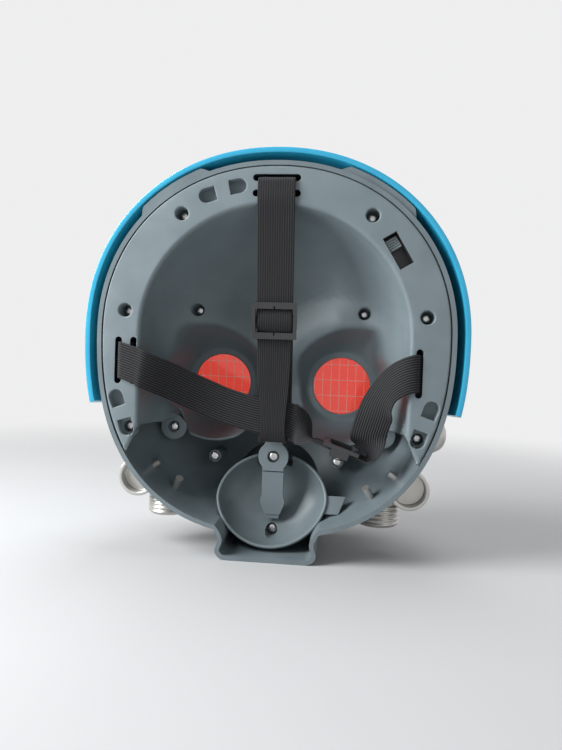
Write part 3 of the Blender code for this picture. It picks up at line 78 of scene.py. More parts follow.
WALL_WHITE = (0.86, 0.86, 0.865, 1)
FADE_FROM, FADE_TO = 0.16, 0.75
table_paint, tree, shader = shader_of("table_white")
place = added(tree, "TexCoord").outputs["Object"]
grain = added(tree, "TexNoise", {"Vector": place, "Scale": 9})
base_colour = added(tree, "MapRange", {"Value": grain.outputs["Fac"], "To Min": 0.50, "To Max": 0.53})
tree.links.new(base_colour.outputs["Result"], shader.inputs["Base Color"])
shader.inputs["Roughness"].default_value = 0.6
shader.inputs["Specular IOR Level"].default_value = 0.2
far = added(tree, "VectorMath", {0: place}, operation="LENGTH")
fade = added(tree, "MapRange", {"Value": far.outputs["Value"], "From Min": FADE_FROM, "From Max": FADE_TO},
             interpolation_type="SMOOTHSTEP")
shown = added(tree, "Math", {0: fade.outputs["Result"], 1: seen_rays(tree)}, operation="MULTIPLY")
wall = added(tree, "Emission", {"Color": WALL_WHITE})
mix = added(tree, "MixShader", {"Fac": shown.outputs[0], 1: shader.outputs[0], 2: wall.outputs[0]})
tree.links.new(mix.outputs[0], tree.nodes["Material Output"].inputs["Surface"])
top = bmesh.new()
bmesh.ops.create_grid(top, x_segments=1, y_segments=1, size=6)
mesh = bpy.data.meshes.new("table_top")
top.to_mesh(mesh)
top.free()
mesh.materials.append(table_paint)
table = bpy.data.objects.new("table_top", mesh)
scene.collection.objects.link(table)

sky = bpy.data.worlds.new("room")
scene.world = sky
sky.use_nodes = True
room = sky.node_tree
soft = room.nodes["Background"]
soft.inputs["Color"].default_value = (0.93, 0.95, 1.0, 1)
soft.inputs["Strength"].default_value = 0.24
wall = added(room, "Background", {"Color": WALL_WHITE})
mix = added(room, "MixShader", {"Fac": seen_rays(room), 1: soft.outputs[0], 2: wall.outputs[0]})
room.links.new(mix.outputs[0], room.nodes["World Output"].inputs["Surface"])


def window(name, place, target, size, power, colour):
    """A soft rectangular light that looks at a point."""
    lamp = bpy.data.lights.new(name, "AREA")
    lamp.shape = "RECTANGLE"
    lamp.size, lamp.size_y = size
    lamp.energy = power
    lamp.color = colour
    held = bpy.data.objects.new(name, lamp)
    held.location = place
    held.rotation_euler = (Vector(target) - Vector(place)).to_track_quat("-Z", "Y").to_euler()
    scene.collection.objects.link(held)


window("window_left", (-0.52, -0.28, 0.42), (0, 0, 0.11), (0.34, 0.55), 8.5, (0.97, 0.99, 1.0))
window("fill_right", (0.85, -0.75, 0.35), (0, 0, 0.1), (0.8, 0.8), 1.0, (1.0, 0.98, 0.95))
window("ceiling", (0.05, 0.12, 0.95), (0, 0, 0.15), (0.5, 0.5), 4.5, (0.96, 0.98, 1.0))

SENSOR, FOCAL_PIXELS, FRAME_HEIGHT = 36, 600, 750
lens = bpy.data.cameras.new("camera")
lens.sensor_width = SENSOR
lens.lens = SENSOR * FOCAL_PIXELS / FRAME_HEIGHT
lens.clip_start = 0.01
camera = bpy.data.objects.new("camera", lens)
yaw, pitch, roll = math.radians(5.71), math.radians(1.14), math.radians(1.94)
ahead = Vector((-math.sin(yaw) * math.cos(pitch), math.cos(yaw) * math.cos(pitch), -math.sin(pitch)))
stand = Matrix.Translation((0.0374, -0.3562, 0.1077)) @ ahead.to_track_quat("-Z", "Y").to_matrix().to_4x4()
camera.matrix_world = stand @ Matrix.Rotation(roll, 4, "Z")
scene.collection.objects.link(camera)
scene.camera = camera

# Front shell: one satin grey injection moulding with a plain lip at the rear, goggle pads, a snout and the
# chin block it stands on. Two posts inside take the cheek screws and two lands on the lip carry the hood.
RIM_Y = -0.038
RIM_Z, APEX_Z = 0.122, 0.113
SHELL_HALF, SHELL_UP, SHELL_DOWN, SHELL_DEPTH = 0.0967, 0.0935, 0.108, 0.080
SHELL_POWERS, DOME_POWER = (2.1, 2.35), 2.2
SHELL_WALL = 0.0024
EYE_X, EYE_Z = 0.0378, 0.0945
PAD_RADIUS, PAD_FRONT = 0.036, 0.0815
SNOUT_Z, SNOUT_RADIUS, SNOUT_FRONT = 0.031, 0.0295, 0.084
CHIN_FRONT = 0.076
CHEEK_X, CHEEK_Z, CHEEK_DEPTH = 0.037, 0.050, 0.040


def at(x, depth, z):
    """A place by its depth in front of the flat rim."""
    return Vector((x, RIM_Y + depth, z))


def reach(angle, half, up, down, powers):
    """Distance from an oval's middle to its edge, where it rises and drops by unlike amounts."""
    rise, power = (up, powers[0]) if math.sin(angle) >= 0 else (down, powers[1])
    return (abs(math.cos(angle) / half) ** power + abs(math.sin(angle) / rise) ** power) ** (-1 / power)


def dome_point(angle, depth, grow):
    """A point of the shell's outside, or of a skin at a distance from it."""
    half, up, down, full = (size + grow for size in (SHELL_HALF, SHELL_UP, SHELL_DOWN, SHELL_DEPTH))
    share = max(0.0, 1 - max(0.0, depth / full) ** DOME_POWER) ** (1 / DOME_POWER)
    middle = RIM_Z + (APEX_Z - RIM_Z) * max(0.0, depth) / SHELL_DEPTH
    far = share * reach(angle, half, up, down, SHELL_POWERS)
    return at(far * math.cos(angle), depth, middle + far * math.sin(angle))


def laid(columns, rows, surface):
    """A sheet of columns by rows on surface(u, v), u and v from 0 to 1, with its meeting edges merged."""
    sheet = bmesh.new()
    bmesh.ops.create_grid(sheet, x_segments=columns, y_segments=rows, size=0.5)
    for vert in sheet.verts:
        vert.co = surface(vert.co.x + 0.5, vert.co.y + 0.5)
    bmesh.ops.remove_doubles(sheet, verts=sheet.verts, dist=1e-6)
    bmesh.ops.recalc_face_normals(sheet, faces=sheet.faces)
    return sheet


def capped(sheet):
    """The same sheet with its open ends filled."""
    bmesh.ops.holes_fill(sheet, edges=[edge for edge in sheet.edges if edge.is_boundary], sides=0)
    bmesh.ops.recalc_face_normals(sheet, faces=sheet.faces)
    return sheet


def dome(grow, rear):
    """The shell's dome as a closed solid from behind its rim to its front; its first rows close the rear."""
    def surface(u, v):
        angle = math.tau * u
        if v < 0.05:
            edge = dome_point(angle, rear, grow)
            return at(0, rear, RIM_Z).lerp(edge, v / 0.05)
        turn = (v - 0.05) / 0.95 * math.pi / 2
        depth = (SHELL_DEPTH + grow) * math.sin(turn)
        return dome_point(angle, depth if v > 0.051 else rear, grow)
    return laid(160, 40, surface)


def spun(profile, base, axis=(0, 1, 0), steps=64):
    """A turned solid: (radius, height) points from axis to axis, or a closed outline off the axis."""
    solid = bmesh.new()
    points = [solid.verts.new((radius, 0, height)) for radius, height in profile]
    edges = [solid.edges.new(pair) for pair in zip(points, points[1:])]
    bmesh.ops.spin(solid, geom=points + edges, cent=(0, 0, 0), axis=(0, 0, 1), angle=math.tau, steps=steps,
                   use_merge=True)
    bmesh.ops.remove_doubles(solid, verts=solid.verts, dist=1e-7)
    bmesh.ops.recalc_face_normals(solid, faces=solid.faces)
    turn = Vector(axis).normalized().to_track_quat("Z", "Y").to_matrix().to_4x4()
    bmesh.ops.transform(solid, matrix=Matrix.Translation(base) @ turn, verts=solid.verts)
    return solid


def rod(start, end, radius, steps=32):
    """A round bar between two places."""
    length = (end - start).length
    return spun([(0, 0), (radius, 0), (radius, length), (0, length)], start, end - start, steps)


def forward_rod(x, z, rear, front, radius, steps=32):
    """A round bar that runs straight forward between two depths."""
    return rod(at(x, rear, z), at(x, front, z), radius, steps)


def rounded(profile, radius, steps=4):
    """The same profile with each corner that has room for it rounded."""
    made = [Vector(profile[0])]
    for before, corner, after in zip(profile, profile[1:], profile[2:]):
        before, corner, after = Vector(before), Vector(corner), Vector(after)
        room = min(radius, (before - corner).length / 2, (after - corner).length / 2)
        start = corner + (before - corner).normalized() * room
        end = corner + (after - corner).normalized() * room
        for i in range(steps + 1):
            t = i / steps
            made.append(start * (1 - t) ** 2 + corner * 2 * t * (1 - t) + end * t ** 2)
    made.append(Vector(profile[-1]))
    return made


def block(centre, size, across=(1, 0, 0), up=(0, 0, 1), soft_edge=0.0):
    """A box along two directions, its edges rounded where asked."""
    solid = bmesh.new()
    bmesh.ops.create_cube(solid, size=1)
    bmesh.ops.scale(solid, vec=size, verts=solid.verts)
    if soft_edge:
        bmesh.ops.bevel(solid, geom=solid.edges[:], offset=soft_edge, segments=3, profile=0.5, affect="EDGES",
                        material=-1)
    x_axis = Vector(across).normalized()
    z_axis = (Vector(up) - x_axis * Vector(up).dot(x_axis)).normalized()
    turn = Matrix((x_axis, z_axis.cross(x_axis), z_axis)).transposed().to_4x4()
    bmesh.ops.transform(solid, matrix=Matrix.Translation(centre) @ turn, verts=solid.verts)
    return solid


def smoothed(made):
    """Smooth faces and crisp corners on a mesh."""
    made.polygons.foreach_set("use_smooth", [True] * len(made.polygons))
    made.set_sharp_from_angle(angle=math.radians(38))


def as_piece(name, solid, finish=None):
    """A bmesh as an object with smooth faces and crisp corners."""
    made = bpy.data.meshes.new(name)
    solid.to_mesh(made)
    solid.free()
    smoothed(made)
    if finish:
        made.materials.append(finish)
    piece = bpy.data.objects.new(name, made)
    scene.collection.objects.link(piece)
    return piece


def shaped(piece, solids, operation):
    """Join solids to a piece or cut them from it, and keep the result as its mesh."""
    group = bpy.data.collections.new("tools")
    scene.collection.children.link(group)
    tools = [as_piece("tool", solid) for solid in solids]
    for tool in tools:
        scene.collection.objects.unlink(tool)
        group.objects.link(tool)
    step = piece.modifiers.new("shape", "BOOLEAN")
    step.operation = operation
    step.solver = "EXACT"
    step.operand_type = "COLLECTION"
    step.collection = group
    made = bpy.data.meshes.new_from_object(piece.evaluated_get(bpy.context.evaluated_depsgraph_get()))
    piece.modifiers.clear()
    finishes = list(piece.data.materials)
    piece.data = made
    made.materials.clear()
    for finish in finishes:
        made.materials.append(finish)
    for tool in tools:
        bpy.data.objects.remove(tool)
    bpy.data.collections.remove(group)


def finished(piece, slot, *nodes, soft_edge=0.0, body="mask"):
    """Soft edges and even shading on a piece that stands for CAD nodes and rides on a body."""
    smoothed(piece.data)
    if soft_edge:
        bevel = piece.modifiers.new("soft_edges", "BEVEL")
        bevel.width = soft_edge
        bevel.segments = 2
        bevel.limit_method = "ANGLE"
        bevel.angle_limit = math.radians(42)
        bevel.use_clamp_overlap = True
    even = piece.modifiers.new("even_shading", "WEIGHTED_NORMAL")
    even.keep_sharp = True
    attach(piece, body)
    if nodes:
        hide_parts(*nodes)


def moulded(name, dark, light, roughness, grain_size=0.0005, grain_height=0.00002, gloss=0.5):
    """Moulded plastic: slight clouding in its colour, a fine grain and uneven gloss."""
    made, tree, shader = shader_of(name)
    place = added(tree, "TexCoord").outputs["Object"]
    cloud = added(tree, "TexNoise", {"Vector": place, "Scale": 55, "Detail": 5}).outputs["Fac"]
    ramp = added(tree, "ValToRGB", {"Fac": cloud})
    for element, position, colour in zip(ramp.color_ramp.elements, (0.3, 0.72), (dark, light)):
        element.position = position
        element.color = (*colour, 1)
    tree.links.new(ramp.outputs["Color"], shader.inputs["Base Color"])
    sheen = added(tree, "MapRange", {"Value": cloud, "To Min": roughness[0], "To Max": roughness[1]})
    tree.links.new(sheen.outputs["Result"], shader.inputs["Roughness"])
    fine = added(tree, "TexNoise", {"Vector": place, "Scale": 1 / grain_size, "Detail": 3})
    bump = added(tree, "Bump", {"Height": fine.outputs["Fac"], "Strength": 0.5, "Distance": grain_height})
    tree.links.new(bump.outputs["Normal"], shader.inputs["Normal"])
    shader.inputs["Specular IOR Level"].default_value = gloss
    return made


def curve(points, steps):
    """Points along a smooth curve through the given ones."""
    points = [Vector(point) for point in points]
    ends = [2 * points[0] - points[1]] + points + [2 * points[-1] - points[-2]]
    path = []
    for a, b, c, d in zip(ends, ends[1:], ends[2:], ends[3:]):
        for i in range(steps):
            t = i / steps
            path.append(0.5 * (2 * b + (c - a) * t + (2 * a - 5 * b + 4 * c - d) * t ** 2
                               + (3 * b - a - 3 * c + d) * t ** 3))
    return path + [points[-1]]


def slab(places, along):
    """A flat face of places, run along a direction."""
    solid = bmesh.new()
    face = solid.faces.new([solid.verts.new(place) for place in places])
    made = bmesh.ops.extrude_face_region(solid, geom=[face])
    moved = [part for part in made["geom"] if isinstance(part, bmesh.types.BMVert)]
    bmesh.ops.translate(solid, verts=moved, vec=along)
    bmesh.ops.recalc_face_normals(solid, faces=solid.faces)
    return solid


def gathered(solids):
    """Several solids as one mesh."""
    whole = bmesh.new()
    for solid in solids:
        part = bpy.data.meshes.new("part")
        solid.to_mesh(part)
        solid.free()
        whole.from_mesh(part)
        bpy.data.meshes.remove(part)
    return whole


def chin(inset, rear, front):
    """The chin's bell outline, run along depth: flat base, flare, neck, then up into the snout."""
    half = [(0.0205 - 0.6 * inset, inset), (0.0240 - 0.8 * inset, 0.0006 + 0.8 * inset),
            (0.0266 - inset, 0.0026 + 0.5 * inset), (0.0274 - inset, 0.0056), (0.0263 - inset, 0.0090),
            (0.0262 - inset, 0.0118), (0.0285 - inset, 0.0165), (0.033 - inset, 0.024 - inset)]
    path = curve([Vector((x, 0, z)) for x, z in half], 5)
    path += [Vector((-point.x, 0, point.z)) for point in reversed(path)]
    return slab([at(point.x, rear, point.z) for point in path], (0, front - rear, 0))


def bulges(wall, rear, chin_rear):
    """The goggle pads, then the chin and the snout: as solids, or as their hollows inside a wall."""
    pads = [forward_rod(sign * EYE_X, EYE_Z, rear, PAD_FRONT - wall, PAD_RADIUS - wall, 96)
            for sign in (-1, 1)]
    snout = forward_rod(0, SNOUT_Z, rear, SNOUT_FRONT - wall, SNOUT_RADIUS - wall, 96)
    return pads, [chin(wall, chin_rear, CHIN_FRONT - wall), snout]


def lip_land(low, high):
    """A raised land on the shell's lip between two angles, with sloping ends, under the hood."""
    def surface(u, v):
        turn = math.radians(low + (high - low) * v)
        rise = min(1.0, 8 * min(v, 1 - v))
        depth, share = ((0.0012, 0), (0.0066, 0), (0.0066, 1), (0.0012, 1))[round(u * 4) % 4]
        return dome_point(turn, depth, -0.0012 + share * (0.0012 + 0.0034 * rise * rise * (3 - 2 * rise)))
    return capped(laid(4, 60, surface))


shell_grey = moulded("shell_grey", (0.140, 0.174, 0.190), (0.175, 0.214, 0.230), (0.28, 0.40), gloss=0.4)
face_shell = as_piece("face_shell", dome(0.0, -0.003), shell_grey)
pads, lower = bulges(0.0, 0.02, -0.002)
shaped(face_shell, pads + lower, "UNION")
pads, lower = bulges(SHELL_WALL, 0.014, -0.012)
shaped(face_shell, pads + [dome(-SHELL_WALL, -0.006)] + lower, "DIFFERENCE")
openings = [forward_rod(sign * EYE_X, EYE_Z, 0.0755, 0.0875, 0.0226, 96) for sign in (-1, 1)]
openings += [forward_rod(0, SNOUT_Z, 0.078, 0.09, 0.013, 64), block(at(0, -0.012, RIM_Z), (0.4, 0.024, 0.4))]
shaped(face_shell, openings, "DIFFERENCE")
post = [(0, 0.009), (0.0014, 0.009), (0.0014, 0), (0.0034, 0), (0.0038, 0.0004), (0.0038, 0.0176),
        (0, 0.0176)]
raised = [spun(post, at(sign * CHEEK_X, CHEEK_DEPTH, CHEEK_Z), steps=32) for sign in (-1, 1)]
raised += [lip_land(40, 70), lip_land(112, 140)]
shell = bmesh.new()
shell.from_mesh(face_shell.data)
gathered([shell] + raised).to_mesh(face_shell.data)
finished(face_shell, "grey_plastic", "front_shell", soft_edge=0.0005)

# Hood: a blue gloss moulding that wraps the crown from ear to ear. It stands off the shell's lip at the
# rear, on the lip's two lands, and closes on the shell towards its front edge.
HOOD_END = math.radians(-21.5)
HOOD_REAR, HOOD_WALL = 0.0009, 0.0028
HOOD_REAR_GAP, HOOD_CLOSING = 0.0044, 0.0036
hood_blue = moulded("hood_blue", (0.022, 0.345, 0.560), (0.030, 0.400, 0.620), (0.14, 0.22), 0.002, 0.000006,
                    0.6)
along = [i / 14 for i in range(15)]
rear_turn, front_turn = (0.15, 0.3, 0.5, 0.7, 0.85), (0.2, 0.4, 0.6, 0.8)
hood_section = [(share, 0.0) for share in along]
hood_section += [(1 + 0.01 * math.sin(math.pi * t), 0.5 - 0.5 * math.cos(math.pi * t)) for t in front_turn]
hood_section += [(share, 1.0) for share in reversed(along)]
hood_section += [(-0.006 * math.sin(math.pi * t), 0.5 + 0.5 * math.cos(math.pi * t)) for t in rear_turn]


def hood_front(angle):
    """Depth of the hood's front edge, which lies further forward over the crown."""
    share = min(1.0, max(0.0, (math.sin(angle) - 0.2) / 0.6))
    return 0.040 + 0.020 * share * share * (3 - 2 * share)


def hood_surface(u, v):
    """The hood's skin: u round its section, v from ear to ear."""
    angle = HOOD_END + (math.pi - 2 * HOOD_END) * v
    share, wall = hood_section[round(u * len(hood_section)) % len(hood_section)]
    depth = HOOD_REAR + (hood_front(angle) - HOOD_REAR) * share
    gap = HOOD_REAR_GAP - HOOD_CLOSING * min(1.0, max(0.0, share))
    return dome_point(angle, depth, gap + HOOD_WALL * wall)


hood = as_piece("crown_hood", capped(laid(len(hood_section), 160, hood_surface)), hood_blue)
finished(hood, "blue_plastic", "hood", soft_edge=0.0006)

# Rear liner: the grey inner moulding against the face, with a flat rim, a forehead bowl and two eye sockets.
# It is laid out as places (x, z, depth) with edges between them, then filled with faces and thickened.
LINER_WALL, RIM_GAP = 0.002, 0.0029
BOWL, BOWL_POWERS, BOWL_DEPTH = (0.0725, 0.070, 0.090), (2, 6), 0.058
BOWL_BORE = (0.0500, 0.1382)
TIP_TOP, TIP_END = 0.071, 0.0574
liner_grey = moulded("liner_grey", (0.165, 0.205, 0.222), (0.200, 0.242, 0.260), (0.34, 0.46), gloss=0.35)
places = []
loops = []


def edge_ring(points, closed=True):
    """Add (x, z, depth) points to the liner's face, joined in a line or a ring."""
    first = len(places)
    places.extend(points)
    loops.extend((first + i, first + i + 1) for i in range(len(points) - 1))
    if closed:
        loops.append((len(places) - 1, first))


def level_ring(outline, depth, closed=True):
    """Add an outline of (x, z) points, all at one depth."""
    edge_ring([(x, z, depth) for x, z in outline], closed)


def oval_share(x, z, half, up, down, powers):
    """How far out a place is in an outline, 1 on its edge."""
    rise = z - RIM_Z
    above = (np.abs(x) / half) ** powers[0] + (np.abs(rise) / up) ** powers[0]
    below = (np.abs(x) / half) ** powers[1] + (np.abs(rise) / down) ** powers[1]
    return np.where(rise >= 0, above ** (1 / powers[0]), below ** (1 / powers[1]))


def brow_at(x, z, depth):
    """How far the brow over the eyes stands out of the bowl, towards the face."""
    far = np.minimum(np.hypot(x - EYE_X, z - EYE_Z), np.hypot(x + EYE_X, z - EYE_Z))
    near = np.clip((0.060 - far) / 0.025, 0, 1)
    above = np.clip((z - EYE_Z + 0.002) / 0.022, 0, 1)
    deep = np.clip(depth / 0.050, 0, 1)
    return 0.0080 * near * near * (3 - 2 * near) * above * above * (3 - 2 * above) * deep * deep


def bowl_share(depth):
    """The size of the bowl's outline at a depth, 1 at the rim."""
    return (1 - (depth / BOWL_DEPTH) ** DOME_POWER) ** (1 / DOME_POWER)


def bowl_at(x, z):
    """Depth of the bowl in front of the rim at each place, found by halving."""
    x, z = np.atleast_1d(np.asarray(x, float)), np.atleast_1d(np.asarray(z, float))
    low, high = np.zeros_like(x), np.full_like(x, BOWL_DEPTH)
    for _ in range(36):
        depth = (low + high) / 2
        shift = (RIM_Z - APEX_Z) * depth / SHELL_DEPTH
        inside = oval_share(x, z + shift, *BOWL, BOWL_POWERS) < bowl_share(depth)
        low, high = np.where(inside, depth, low), np.where(inside, high, depth)
    return low - brow_at(x, z, low)


def bowl_depth(x, z):
    """Depth of the bowl at one place."""
    return float(bowl_at(x, z)[0])


def low_edge(depth):
    """Height of the bowl's lower edge: level beside the rim, then rising towards the front."""
    return np.maximum(TIP_TOP, 0.060 + 0.40 * depth)


def bowl_ring(depth, offset=0.0):
    """The bowl's outline at a depth, moved outwards where asked."""
    middle = RIM_Z - (RIM_Z - APEX_Z) * depth / SHELL_DEPTH
    ring = []
    for i in range(224):
        angle = math.tau * i / 224
        far = bowl_share(depth) * reach(angle, *BOWL, BOWL_POWERS) + offset
        ring.append((far * math.cos(angle), middle + far * math.sin(angle)))
    return ring


def rim_ring(inset):
    """The liner's outer edge, a small gap inside the shell's lip."""
    edge = RIM_GAP + inset
    ring = []
    for i in range(360):
        angle = math.tau * i / 360
        far = reach(angle, SHELL_HALF - edge, SHELL_UP - edge, SHELL_DOWN - edge, SHELL_POWERS)
        ring.append((far * math.cos(angle), RIM_Z + far * math.sin(angle)))
    return ring


for inset, depth in ((0.0, 0.0010), (0.0003, 0.0004), (0.0010, 0.0)):
    level_ring(rim_ring(inset), depth)
for offset, depth in ((0.0026, 0.0), (0.0016, 0.0002), (0.0009, 0.0006), (0.0004, 0.0012), (0.0, 0.0022)):
    lowest = 0.0716 if offset else 0.0711
    ring = bowl_ring(0.0, offset)
    quarter = len(ring) // 4
    level_ring([(x, z) for x, z in ring[-quarter:] + ring[:-quarter] if z > lowest], depth, closed=False)

# Eye sockets of the liner: a hollow before each eye that narrows like a funnel to a flat ring round the lens
# hole. Its upper side runs out into the brow, and its lower side ends in a free lip over the cheek.
SOCKET_FOOT = ((0.0177, 0.0627), (0.0180, 0.0622), (0.0186, 0.0620), (0.0198, 0.0620), (0.0210, 0.0620))
SOCKET_TURNS = 144
BROW_STEPS = (0.0014, 0.0030, 0.0050, 0.0074, 0.0102, 0.0134, 0.0170, 0.0210, 0.0250)
socket_reach = {-1: [], 1: []}
socket_outline = {-1: [], 1: []}


def eased(share):
    """A share from 0 to 1 that starts and ends gently."""
    share = min(1.0, max(0.0, share))
    return share * share * (3 - 2 * share)


def from_eye(sign, toward, radius):
    """The (x, z) place at a radius from one eye's middle."""
    return sign * EYE_X + radius * toward[0], EYE_Z + radius * toward[1]


def socket_wall(sign, toward):
    """Depths and radii of a socket's wall in one direction, from its foot to where it may end."""
    outward = sign * toward[0]
    upper, side = eased((toward[1] + 0.2) / 0.9), eased((outward - 0.45) / 0.4)
    flare = (0.0205 + 0.0066 * upper) * (1 - side) + 0.0108 * side
    nose = eased((toward[1] + 0.95) / 0.50) if outward < 0 else 0.0
    lug = eased(2 - abs(math.degrees(math.atan2(toward[1], outward)) + 47.9) / 9)
    below = float(toward[1] < 0) if outward < 0 else eased((-0.35 - toward[1]) / 0.25)
    rear = 0.003 * (1 - below) + (0.0370 + 0.0150 * nose + 0.0045 * lug) * below
    depths = np.linspace(0.0617, rear, 60)
    return depths, 0.0213 + flare * ((0.0620 - depths) / 0.0514) ** 0.7, rear


for sign in (-1, 1):
    rings = [[] for _ in SOCKET_FOOT]
    lip = []
    for i in range(SOCKET_TURNS):
        turn = math.tau * i / SOCKET_TURNS
        toward = (math.cos(turn), math.sin(turn))
        for ring, (radius, depth) in zip(rings, SOCKET_FOOT):
            ring.append((*from_eye(sign, toward, radius), depth))
        wall_depth, radii, rear = socket_wall(sign, toward)
        x, z = from_eye(sign, toward, radii)
        bowl = bowl_at(x, z)
        in_bowl = (oval_share(x, z, *BOWL, BOWL_POWERS) < 1) & (z > low_edge(bowl))
        met = np.where(in_bowl & (bowl > wall_depth))[0]
        last = met[0] if len(met) else len(radii) - 1
        edge_radius = radii[last]
        soft_from = edge_radius - 0.0014 if len(met) else edge_radius - 0.0004
        for k in range(0, last, 3):
            if radii[k] < soft_from - 0.0002:
                places.append((x[k], z[k], wall_depth[k]))
        if len(met):
            out = edge_radius + 0.0026
            start = Vector((soft_from, float(np.interp(soft_from, radii, wall_depth))))
            corner = Vector((edge_radius, float(bowl[last])))
            end = Vector((out, bowl_depth(*from_eye(sign, toward, out))))
            for step in range(7):
                t = step / 6
                point = start * (1 - t) ** 2 + corner * 2 * t * (1 - t) + end * t ** 2
                places.append((*from_eye(sign, toward, point.x), point.y))
            for step in BROW_STEPS:
                px, pz = from_eye(sign, toward, out + step)
                deep = bowl_depth(px, pz)
                off_bore = math.hypot(px - sign * BOWL_BORE[0], pz - BOWL_BORE[1]) > 0.0058
                if sign * px > 0 and pz > low_edge(deep) + 0.0012 and deep > 0.006 and off_bore:
                    places.append((px, pz, deep))
        else:
            out = edge_radius + 0.0012
            for radius, depth in ((edge_radius - 0.0002, rear + 0.0001),
                                  (edge_radius + 0.0006, rear - 0.0002)):
                places.append((*from_eye(sign, toward, radius), depth))
        socket_reach[sign].append(out)
        socket_outline[sign].append(from_eye(sign, toward, out))
        lip.append(None if len(met) else (*from_eye(sign, toward, out), rear))
    for ring in rings:
        edge_ring(ring)
    half = SOCKET_TURNS // 2
    edge_ring([point for point in lip[half:] + lip[:half] if point], closed=False)

# Screw bores and wells of the liner: four bores in the rim and two in the bowl, each with a small lead-in,
# and six D-shaped wells in the rim. The lowest two wells have a bore in their floor.
RIM_BORES = ((0.0512, 0.1866), (0.0813, 0.1338))
WELL_BORE = (0.0788, 0.0698)
BORE_FLOOR = 0.0085


def circle(x, z, radius, steps):
    """Places round a middle."""
    turns = [math.tau * i / steps for i in range(steps)]
    return [(x + radius * math.cos(turn), z + radius * math.sin(turn)) for turn in turns]


def d_outline(x, z, lean, grow):
    """A D: a half circle on a short straight part."""
    radius = 0.0037 + grow
    points = [(-radius, -grow), (0, -grow), (radius, -grow), (radius, 0.0027)]
    for i in range(17):
        turn = math.pi * i / 16
        points.append((radius * math.cos(turn), 0.0053 + radius * math.sin(turn)))
    points.append((-radius, 0.0027))
    return [(x + a * math.cos(lean) - (b - 0.0045) * math.sin(lean),
             z + a * math.sin(lean) + (b - 0.0045) * math.cos(lean)) for a, b in points]


bores = [(sign * x, z, 0.0) for sign in (-1, 1) for x, z in RIM_BORES]
bores += [(sign * BOWL_BORE[0], BOWL_BORE[1], bowl_depth(*BOWL_BORE)) for sign in (-1, 1)]
for x, z, base in bores:
    for radius, depth in ((0.0044, 0.0), (0.0040, 0.0001), (0.0037, 0.0004), (0.00355, 0.0009)):
        edge_ring([(px, pz, depth + (bowl_depth(px, pz) if base else 0.0))
                   for px, pz in circle(x, z, radius, 36)])
    for radius in (0.0034, 0.0016):
        level_ring(circle(x, z, radius, 36), base + BORE_FLOOR)
    places.append((x, z, base + BORE_FLOOR))
wells = [(-0.0374, 0.1965, math.pi / 2 + 0.3, False), (-0.0209, 0.2015, -math.pi / 2 + 0.2, False)]
for sign in (-1, 1):
    wells.append((sign * 0.0848, 0.0856, sign * -0.35, False))
    wells.append((sign * WELL_BORE[0], WELL_BORE[1], math.pi + sign * -0.3, True))
for x, z, lean, bored in wells:
    floor = 0.0048 if bored else 0.0050
    for grow, depth in ((0.0006, 0.0), (0.0003, 0.0001), (0.0001, 0.0004), (-0.0001, floor - 0.0002),
                        (-0.0004, floor)):
        level_ring(d_outline(x, z, lean, grow), depth)
    if bored:
        for radius, depth in ((0.0033, floor), (0.0031, floor + 0.0003), (0.0030, BORE_FLOOR),
                              (0.0015, BORE_FLOOR)):
            level_ring(circle(x, z, radius, 32), depth)
    places.append((x, z, BORE_FLOOR if bored else floor))

# Strap slots and switch window of the liner: two slots at the crown, two at the left temple and one at the
# right, and a leaning window for the slide switch. Each is moulded through the rim with softened edges.
SLOT_LENGTH, SLOT_WIDTH = 0.0254, 0.0034
SWITCH_X, SWITCH_Z, SWITCH_LEAN = 0.0649, 0.1684, math.radians(31)
WINDOW_LONG, WINDOW_WIDE = 0.0092, 0.0039
CUT_EDGE = ((0.0005, 0.0), (0.0002, 0.0001), (0.0, 0.0005))


def slot_outline(x, z, turn, grow):
    """A slot with round ends."""
    half, end = SLOT_LENGTH / 2 + grow, SLOT_WIDTH / 2 + grow
    points = []
    for i in range(9):
        swing = -math.pi / 2 + math.pi * i / 8
        points.append((half - end + end * math.cos(swing), end * math.sin(swing)))
    points += [(-a, -b) for a, b in points]
    return [(x + a * math.cos(turn) - b * math.sin(turn), z + a * math.sin(turn) + b * math.cos(turn))
            for a, b in points]


def window_outline(grow):
    """The switch's window, with square corners, leaning with the rim."""
    down = (math.sin(SWITCH_LEAN), -math.cos(SWITCH_LEAN))
    side = (math.cos(SWITCH_LEAN), math.sin(SWITCH_LEAN))
    long, wide = WINDOW_LONG + grow, WINDOW_WIDE + grow
    return [(SWITCH_X + a * down[0] + b * side[0], SWITCH_Z + a * down[1] + b * side[1])
            for a, b in ((-long, -wide), (long, -wide), (long, wide), (-long, wide))]


cuts = [[slot_outline(0, z, 0, grow) for grow, _ in CUT_EDGE] for z in (0.2060, 0.1978)]
for x, z in ((-0.0844, 0.1064), (-0.0760, 0.1064), (0.0780, 0.1044)):
    cuts.append([slot_outline(x, z, math.pi / 2, grow) for grow, _ in CUT_EDGE])
cuts.append([window_outline(grow) for grow, _ in CUT_EDGE])
for outlines in cuts:
    for outline, (_, depth) in zip(outlines, CUT_EDGE):
        level_ring(outline, depth)

# Bowl and tips of the liner: rows of places down the bowl's wall, its lower edge, which rises towards the
# front, and the rim's two blunt tips below it. The faces between all places are one sheet, then a wall.
BOWL_ROWS = (0.0042, 0.007, 0.010, 0.0135, 0.017, 0.0205, 0.024, 0.0275, 0.031, 0.0345, 0.038, 0.041, 0.044,
             0.047, 0.0495, 0.0515, 0.0535, 0.055, 0.0562, 0.0571, 0.0577)
WALL_TOP = 0.0022


